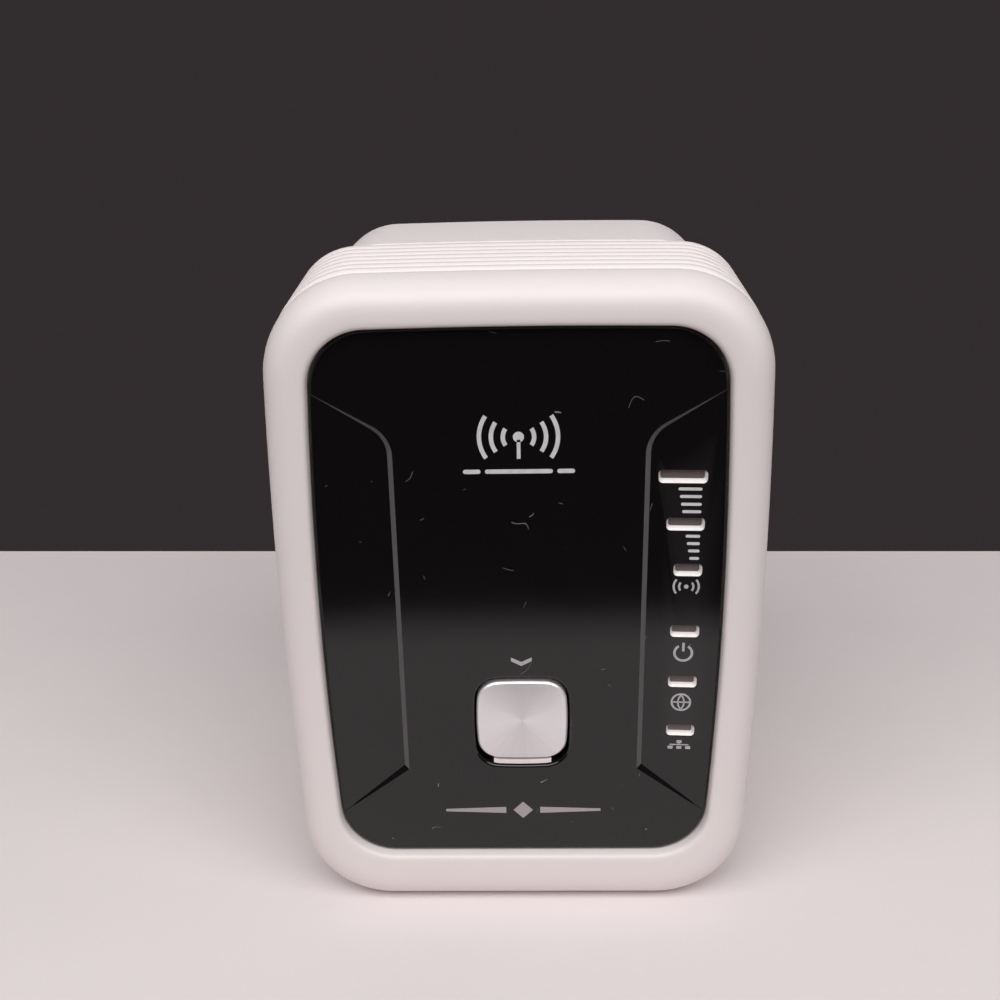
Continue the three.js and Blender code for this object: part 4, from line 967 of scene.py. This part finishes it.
def build_indicator_marks():
    # Stacks of short bars between the signal windows: each bar's left end and level.
    stacks = []
    for right, bars in (
        (24.94, ((21.71, 18.37), (21.95, 17.27), (22.13, 16.13), (22.34, 15.04))),
        (24.95, ((22.95, 11.38), (23.16, 10.27), (23.37, 9.16), (23.58, 8.02))),
    ):
        stacks += [capsule((left + right) / 2, z, right - left, 0.43, 5) for left, z in bars]
    printed("mark_signal_bars", stacks, print_white, on_wing=True)
    # Wireless: a dot with waves to both sides.
    x, z = INDICATOR_X, 3.65
    waves = [circle(x, z, 0.33, 16)]
    for radius in (1.0, 1.75):
        waves += wave_pair(x, z, radius, 0.3, 38, 8)
    printed("mark_wireless", waves, print_pale, on_wing=True)
    # Power: an open ring with a stroke.
    z = -6.95
    power = ring(x, z, 1.25, 0.36, 122, 418) + [stroke(x, z + 0.25, x, z + 1.65, 0.36)]
    printed("mark_power", power, print_pale, on_wing=True)
    # Wide network: a globe.
    z = -15.15
    globe = ring(x, z, 1.35, 0.28) + [stroke(x - 1.2, z, x + 1.2, z, 0.22)]
    for side, middle in ((-1, 0), (1, 180)):
        globe.append(arc_band(x + side * 1.3, z, 1.75, 0.22, middle - 42, middle + 42, 8))
    printed("mark_globe", globe, print_pale, on_wing=True)
    # Local network: one box above three, joined by lines.
    z = -22.45
    tree = [rounded_rectangle(x, z + 0.5, 0.75, 0.5, 0.08, 3), stroke(x, z + 0.3, x, z, 0.2)]
    tree.append(stroke(x - 1.4, z - 0.02, x + 1.4, z - 0.02, 0.2))
    for step in (-1.3, 0, 1.3):
        tree.append(rounded_rectangle(x + step, z - 0.5, 0.75, 0.5, 0.08, 3))
    printed("mark_tree", tree, print_pale, on_wing=True)


# ---------------------------------------------------------------------------
# Ribbed housing and rear cover
# ---------------------------------------------------------------------------


def housing_outline(offset, y):
    along = (y - HOUSING_FRONT_Y) / (HOUSING_BACK_Y - HOUSING_FRONT_Y)
    corner = HOUSING_CORNERS[0] + (HOUSING_CORNERS[1] - HOUSING_CORNERS[0]) * along
    return panel_offset(offset, CHIN, corner - (FRAME_WIDTH - offset))


def cover_outline(inset, y):
    draft = COVER_DRAFT * (y - COVER_FRONT_Y) / (COVER_BACK_Y - COVER_FRONT_Y)
    top = PANEL_HALF_HEIGHT + FRAME_WIDTH
    return bowed_outline(
        PANEL_HALF_WIDTH + FRAME_WIDTH - COVER_STEP - draft - inset,
        top - draft / 2 - inset,
        top + CHIN - inset,
        COVER_CORNER - inset,
    )


def jack_cuts():
    """Openings for the network jacks, cut through the bottom wall."""
    below, above = Vector((CLEARANCE, CLEARANCE, 2)), Vector((CLEARANCE, CLEARANCE, 3))
    boxes = [local_box(node) for node in ("wan_jack", "lan_jack")]
    return [block(low - below, high + above) for low, high in boxes]


def control_cuts(outside):
    """A finger pocket and a slot for each slide switch, and the reset hole."""
    cuts = []
    for side, node, travel_up, travel_down in CONTROLS:
        low, high = local_box(node)
        top, bottom = high.z + travel_up + CLEARANCE, low.z - travel_down - CLEARANCE
        length = top - bottom + 2 * POCKET_MARGIN
        middle = (top + bottom) / 2
        pocket = rounded_rectangle(CONTROL_Y, middle, POCKET_WIDTH, length, POCKET_CORNER, 6)
        cuts.append(prism_along_x(pocket, side * (outside - POCKET_DEPTH), side * (outside + 3)))
        x0, x1 = sorted(side * x for x in SIDE_CUT)
        cuts.append(block((x0, low.y - CLEARANCE, bottom), (x1, high.y + CLEARANCE, top)))
    cuts.append(prism_along_x(circle(CONTROL_Y, RESET_Z, 1.0, 32), *(-x for x in SIDE_CUT)))
    return cuts


def vent_cuts():
    """Narrow slots in the grooves between the ribs."""
    cuts = []
    for i in range(RIB_COUNT - 2):
        y = FIRST_RIB_Y + RIB_PITCH * (i + 1.5)
        for z in VENT_ROWS_Z:
            slot = rounded_rectangle(y, z, VENT_WIDTH, VENT_LENGTH, VENT_WIDTH * 0.49, 4)
            cuts += [prism_along_x(slot, *(side * x for x in SIDE_CUT)) for side in (-1, 1)]
    return cuts


def build_housing():
    """The ribbed shell, closed behind by a shoulder that meets the rear cover."""
    root = FRAME_WIDTH - RIB_DEPTH
    inner = FRAME_WIDTH - WALL
    rings = [(housing_outline(root, HOUSING_FRONT_Y), HOUSING_FRONT_Y)]
    for rib in range(RIB_COUNT):
        middle = FIRST_RIB_Y + RIB_PITCH * rib
        for i in range(-6, 7):
            share = i / 6
            y = middle + share * RIB_ROOT / 2
            if y > HOUSING_BACK_Y - 0.2:
                break
            offset = root + RIB_DEPTH * (1 - abs(share) ** RIB_SQUARENESS)
            rings.append((housing_outline(offset, y), y))
    rings.append((housing_outline(FRAME_WIDTH - 0.25, HOUSING_BACK_Y), HOUSING_BACK_Y))
    shoulder_y = HOUSING_BACK_Y - SHOULDER_THICKNESS
    shoulder = cover_outline(SHOULDER_INSET, COVER_FRONT_Y)
    rings += [(shoulder, HOUSING_BACK_Y), (shoulder, shoulder_y)]
    rings.append((housing_outline(inner, shoulder_y), shoulder_y))
    rings.append((housing_outline(inner, HOUSING_FRONT_Y), HOUSING_FRONT_Y))
    housing = loft("housing_ribbed", rings, looped=True)
    combine(housing, jack_cuts() + control_cuts(PANEL_HALF_WIDTH + FRAME_WIDTH) + vent_cuts())
    show(housing, "chassis", white_shell, ["ribbed_housing"], sharp=40)


def build_rear_cover():
    """A drafted box with four screw wells, the plug's opening and the label's recess."""
    inner_back = COVER_BACK_Y - WALL
    rings = [
        (cover_outline(WALL, inner_back), inner_back),
        (cover_outline(WALL, COVER_FRONT_Y), COVER_FRONT_Y),
        (cover_outline(0.15, COVER_FRONT_Y), COVER_FRONT_Y),
        (cover_outline(0, COVER_FRONT_Y), COVER_FRONT_Y + 0.15),
    ]
    for i in range(10):
        angle = math.pi / 2 * i / 9
        y = COVER_BACK_Y - COVER_EDGE_RADIUS * (1 - math.sin(angle))
        rings.append((cover_outline(COVER_EDGE_RADIUS * (1 - math.cos(angle)), y), y))
    cover = loft("cover_rear", rings)
    span = (POST_JOINT_Y + CLEARANCE, inner_back + 0.5)
    combine(cover, [post(x, z, POST_RADIUS + 0.6, *span) for x, z in SCREW_POSTS], "UNION")
    well = ((2.9, SCREW_HEAD_Y - CLEARANCE), (2.9, COVER_BACK_Y - 0.4), (4.2, COVER_BACK_Y + 0.9))
    cuts = []
    for x, z in SCREW_POSTS:
        cuts.append(post(x, z, SCREW_HOLE_RADIUS, POST_JOINT_Y - 1, COVER_BACK_Y))
        cuts.append(loft("tool", [(circle(x, z, radius), y) for radius, y in well]))
    gap = 2 * CLEARANCE
    mouth = rounded_rectangle(
        0, PLUG_Z, PLUG_WIDTH + gap, PLUG_HEIGHT + gap, PLUG_CORNER + CLEARANCE
    )
    cuts.append(prism(mouth, inner_back - 1, COVER_BACK_Y + 1))
    recess = rounded_rectangle(
        0, LABEL["z"], LABEL["width"] + gap, LABEL["height"] + gap, LABEL["corner"] + CLEARANCE
    )
    cuts.append(prism(recess, COVER_BACK_Y - LABEL_RECESS, COVER_BACK_Y + 1))
    combine(cover, cuts)
    show(cover, "chassis", white_shell, ["rear_cover"], sharp=40)


def build_label():
    """A thin blank film in the cover's recess."""
    low, high = [(corner.y - ZERO.y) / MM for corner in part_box("rating_label")]
    edge = 0.03
    label = rounded_rectangle(*LABEL.values())
    rings = [(label, low), (label, high - edge), (widened(label, -edge), high)]
    sheet = loft("label_blank", rings)
    show(sheet, "chassis", label_surface, ["rating_label"])


def build_plug_insert():
    """A rounded insert with a slot for each blade."""
    face = rounded_rectangle(0, PLUG_Z, PLUG_WIDTH, PLUG_HEIGHT, PLUG_CORNER)
    edge = 0.35
    rings = [(face, PLUG_FRONT_Y)]
    for i in range(5):
        turn = math.pi / 8 * i
        inset = edge * (1 - math.cos(turn))
        rings.append((widened(face, -inset), COVER_BACK_Y - edge * (1 - math.sin(turn))))
    insert = loft("plug_face_insert", rings)
    width, height = BLADE_THICKNESS + 2 * CLEARANCE, BLADE_WIDTH + 2 * CLEARANCE
    slots = []
    for x in (-BLADE_SPACING / 2, BLADE_SPACING / 2):
        slot = rounded_rectangle(x, PLUG_Z, width, height, 0.4, 4)
        slots.append(prism(slot, PLUG_FRONT_Y - 1, COVER_BACK_Y + 1))
    combine(insert, slots)
    show(insert, "chassis", white_inner, ["plug_insert"])


def build_blades():
    """Flat blades with a tapered tip, eased edges and a round hole."""
    half = BLADE_WIDTH / 2
    edge = 0.18
    for name in ("left", "right"):
        node = f"plug_blade_{name}"
        low, high = local_box(node)
        tip = high.y
        profile = [(low.y, -half), (tip - BLADE_TAPER, -half), (tip, -half + BLADE_TAPER)]
        profile += [(y, -z) for y, z in reversed(profile)]
        levels = [(low.x, edge), (low.x + edge, 0), (high.x - edge, 0), (high.x, edge)]
        rings = [[(x, y, PLUG_Z + z) for y, z in widened(profile, -inset)] for x, inset in levels]
        blade = skin(f"blade_{name}", rings)
        hole = circle(tip - BLADE_HOLE_INSET, PLUG_Z, BLADE_HOLE_RADIUS, 32)
        combine(blade, [prism_along_x(hole, low.x - 1, high.x + 1)])
        show(blade, "chassis", nickel, [node], sharp=25)


def build_knobs():
    """Slide knobs with three grooves across the thumb face."""
    depth, half_width, pitch = 0.3, 0.17, 0.8
    for name, side in (("mode", -1), ("power", 1)):
        node = f"{name}_switch_knob"
        low, high = local_box(node)
        outer = high.x if side > 0 else low.x
        x0, x1 = sorted((outer - side * depth, outer + side))
        knob = block(low, high, f"knob_{name}")
        middle = (low.z + high.z) / 2
        grooves = [
            block((x0, low.y - 1, z - half_width), (x1, high.y + 1, z + half_width))
            for z in (middle - pitch, middle, middle + pitch)
        ]
        combine(knob, grooves)
        round_edges(knob, 0.07)
        bake(knob)
        show(knob, f"{name}_knob", component, [node], sharp=60)


build_front_shell()
build_front_panel()
build_button()
build_light_guide()
build_panel_marks()
build_indicator_marks()
build_housing()
build_rear_cover()
build_label()
build_plug_insert()
build_blades()
build_knobs()

# ---------------------------------------------------------------------------
# Carried-over CAD nodes keep their shape and take these surfaces
# ---------------------------------------------------------------------------

CARRIED = {
    "wps_button_carrier": white_inner,
    "wps_switch_plunger": white_inner,
    "reset_switch_plunger": white_inner,
    "main_board": board,
    "power_board": board,
    "shield_can": tinned,
    "mode_switch_body": tinned,
    "power_switch_body": tinned,
    "wan_jack_contacts": gold,
    "lan_jack_contacts": gold,
    "plug_contact_left": gold,
    "plug_contact_right": gold,
    "antenna_left": copper,
    "antenna_right": copper,
    "power_transformer": tape,
    "input_capacitor": sleeve,
    "output_capacitor": sleeve,
    "antenna_cable_left": grey_cable,
    "antenna_cable_right": grey_cable,
    "dc_wire_positive": red_wire,
    "dc_wire_negative": black_wire,
    "mains_wire_left": black_wire,
    "mains_wire_right": black_wire,
}
for corner in ("top_left", "top_right", "bottom_left", "bottom_right"):
    CARRIED[f"screw_{corner}"] = tinned
for name, *_ in WINDOWS:
    CARRIED[f"led_{name}"] = led_resin
BLACK_PARTS = (
    "wps_switch_body",
    "processor",
    "memory_chip",
    "network_transformer",
    "wan_jack",
    "lan_jack",
    "reset_switch_body",
    "bridge_rectifier",
    "mains_fuse",
)
CARRIED.update(dict.fromkeys(BLACK_PARTS, component))
ROUNDED = ("wan_jack", "lan_jack", "network_transformer", "mode_switch_body", "power_switch_body")

for name, surface in CARRIED.items():
    for i in range(len(nodes[name].data.materials)):
        nodes[name].data.materials[i] = surface
for name in ROUNDED:
    round_edges(nodes[name], 0.15)

# ---------------------------------------------------------------------------
# Floor and light
# ---------------------------------------------------------------------------


def build_floor():
    """A plain pale sheet, in metres, that ends a little way behind the object."""
    front, half = -0.142, 0.62
    left_back, right_back = 0.113, 0.086
    mesh = bpy.data.meshes.new("floor")
    corners = [(-half, front, 0), (half, front, 0), (half, right_back, 0), (-half, left_back, 0)]
    mesh.from_pydata(corners, [], [(0, 1, 2, 3)])
    floor = bpy.data.objects.new("floor", mesh)
    bpy.context.scene.collection.objects.link(floor)
    s = Surface("floor_sheet")
    tone = s.mix(s.noise(60, 3), rgb(0.775, 0.705, 0.705), rgb(0.83, 0.755, 0.755))
    # The sheet is painted darker towards its front edge, down to near black, as painted shade in
    # place of light falling off there, so its mirror image in the panel fades out.
    along = s.add("SeparateXYZ", output="Y", Vector=s.mm)
    tone = s.mix(s.remap(along, -120.0, -138.0), tone, rgb(0.012, 0.010, 0.011))
    relief = s.bump(s.noise(18, 4), 0.25)
    mesh.materials.append(s.finish(Base_Color=tone, Roughness=0.75, Normal=relief))


def area_light(name, at, towards, size, power):
    data = bpy.data.lights.new(name, "AREA")
    data.shape = "RECTANGLE"
    data.size, data.size_y = size
    data.energy = power
    light = bpy.data.objects.new(name, data)
    bpy.context.scene.collection.objects.link(light)
    light.location = at
    light.rotation_euler = (Vector(towards) - Vector(at)).to_track_quat("-Z", "Y").to_euler()


build_floor()
# A wide main light in front and above, and weak ones overhead and behind.
area_light("key", (0.0, -0.34, 0.50), (0, 0, 0.04), (1.1, 0.4), 4.9)
area_light("overhead", (0.0, 0.20, 0.80), (0, 0, 0.0), (2.2, 0.5), 0.6)
area_light("back", (0.0, 0.75, 0.35), (0, 0, 0.03), (1.6, 0.5), 1.2)

world = bpy.data.worlds.new("world")
world.use_nodes = True
world.node_tree.nodes["Background"].inputs["Color"].default_value = rgb(0.032, 0.026, 0.0285)
bpy.context.scene.world = world
bpy.context.scene.view_settings.view_transform = "Standard"
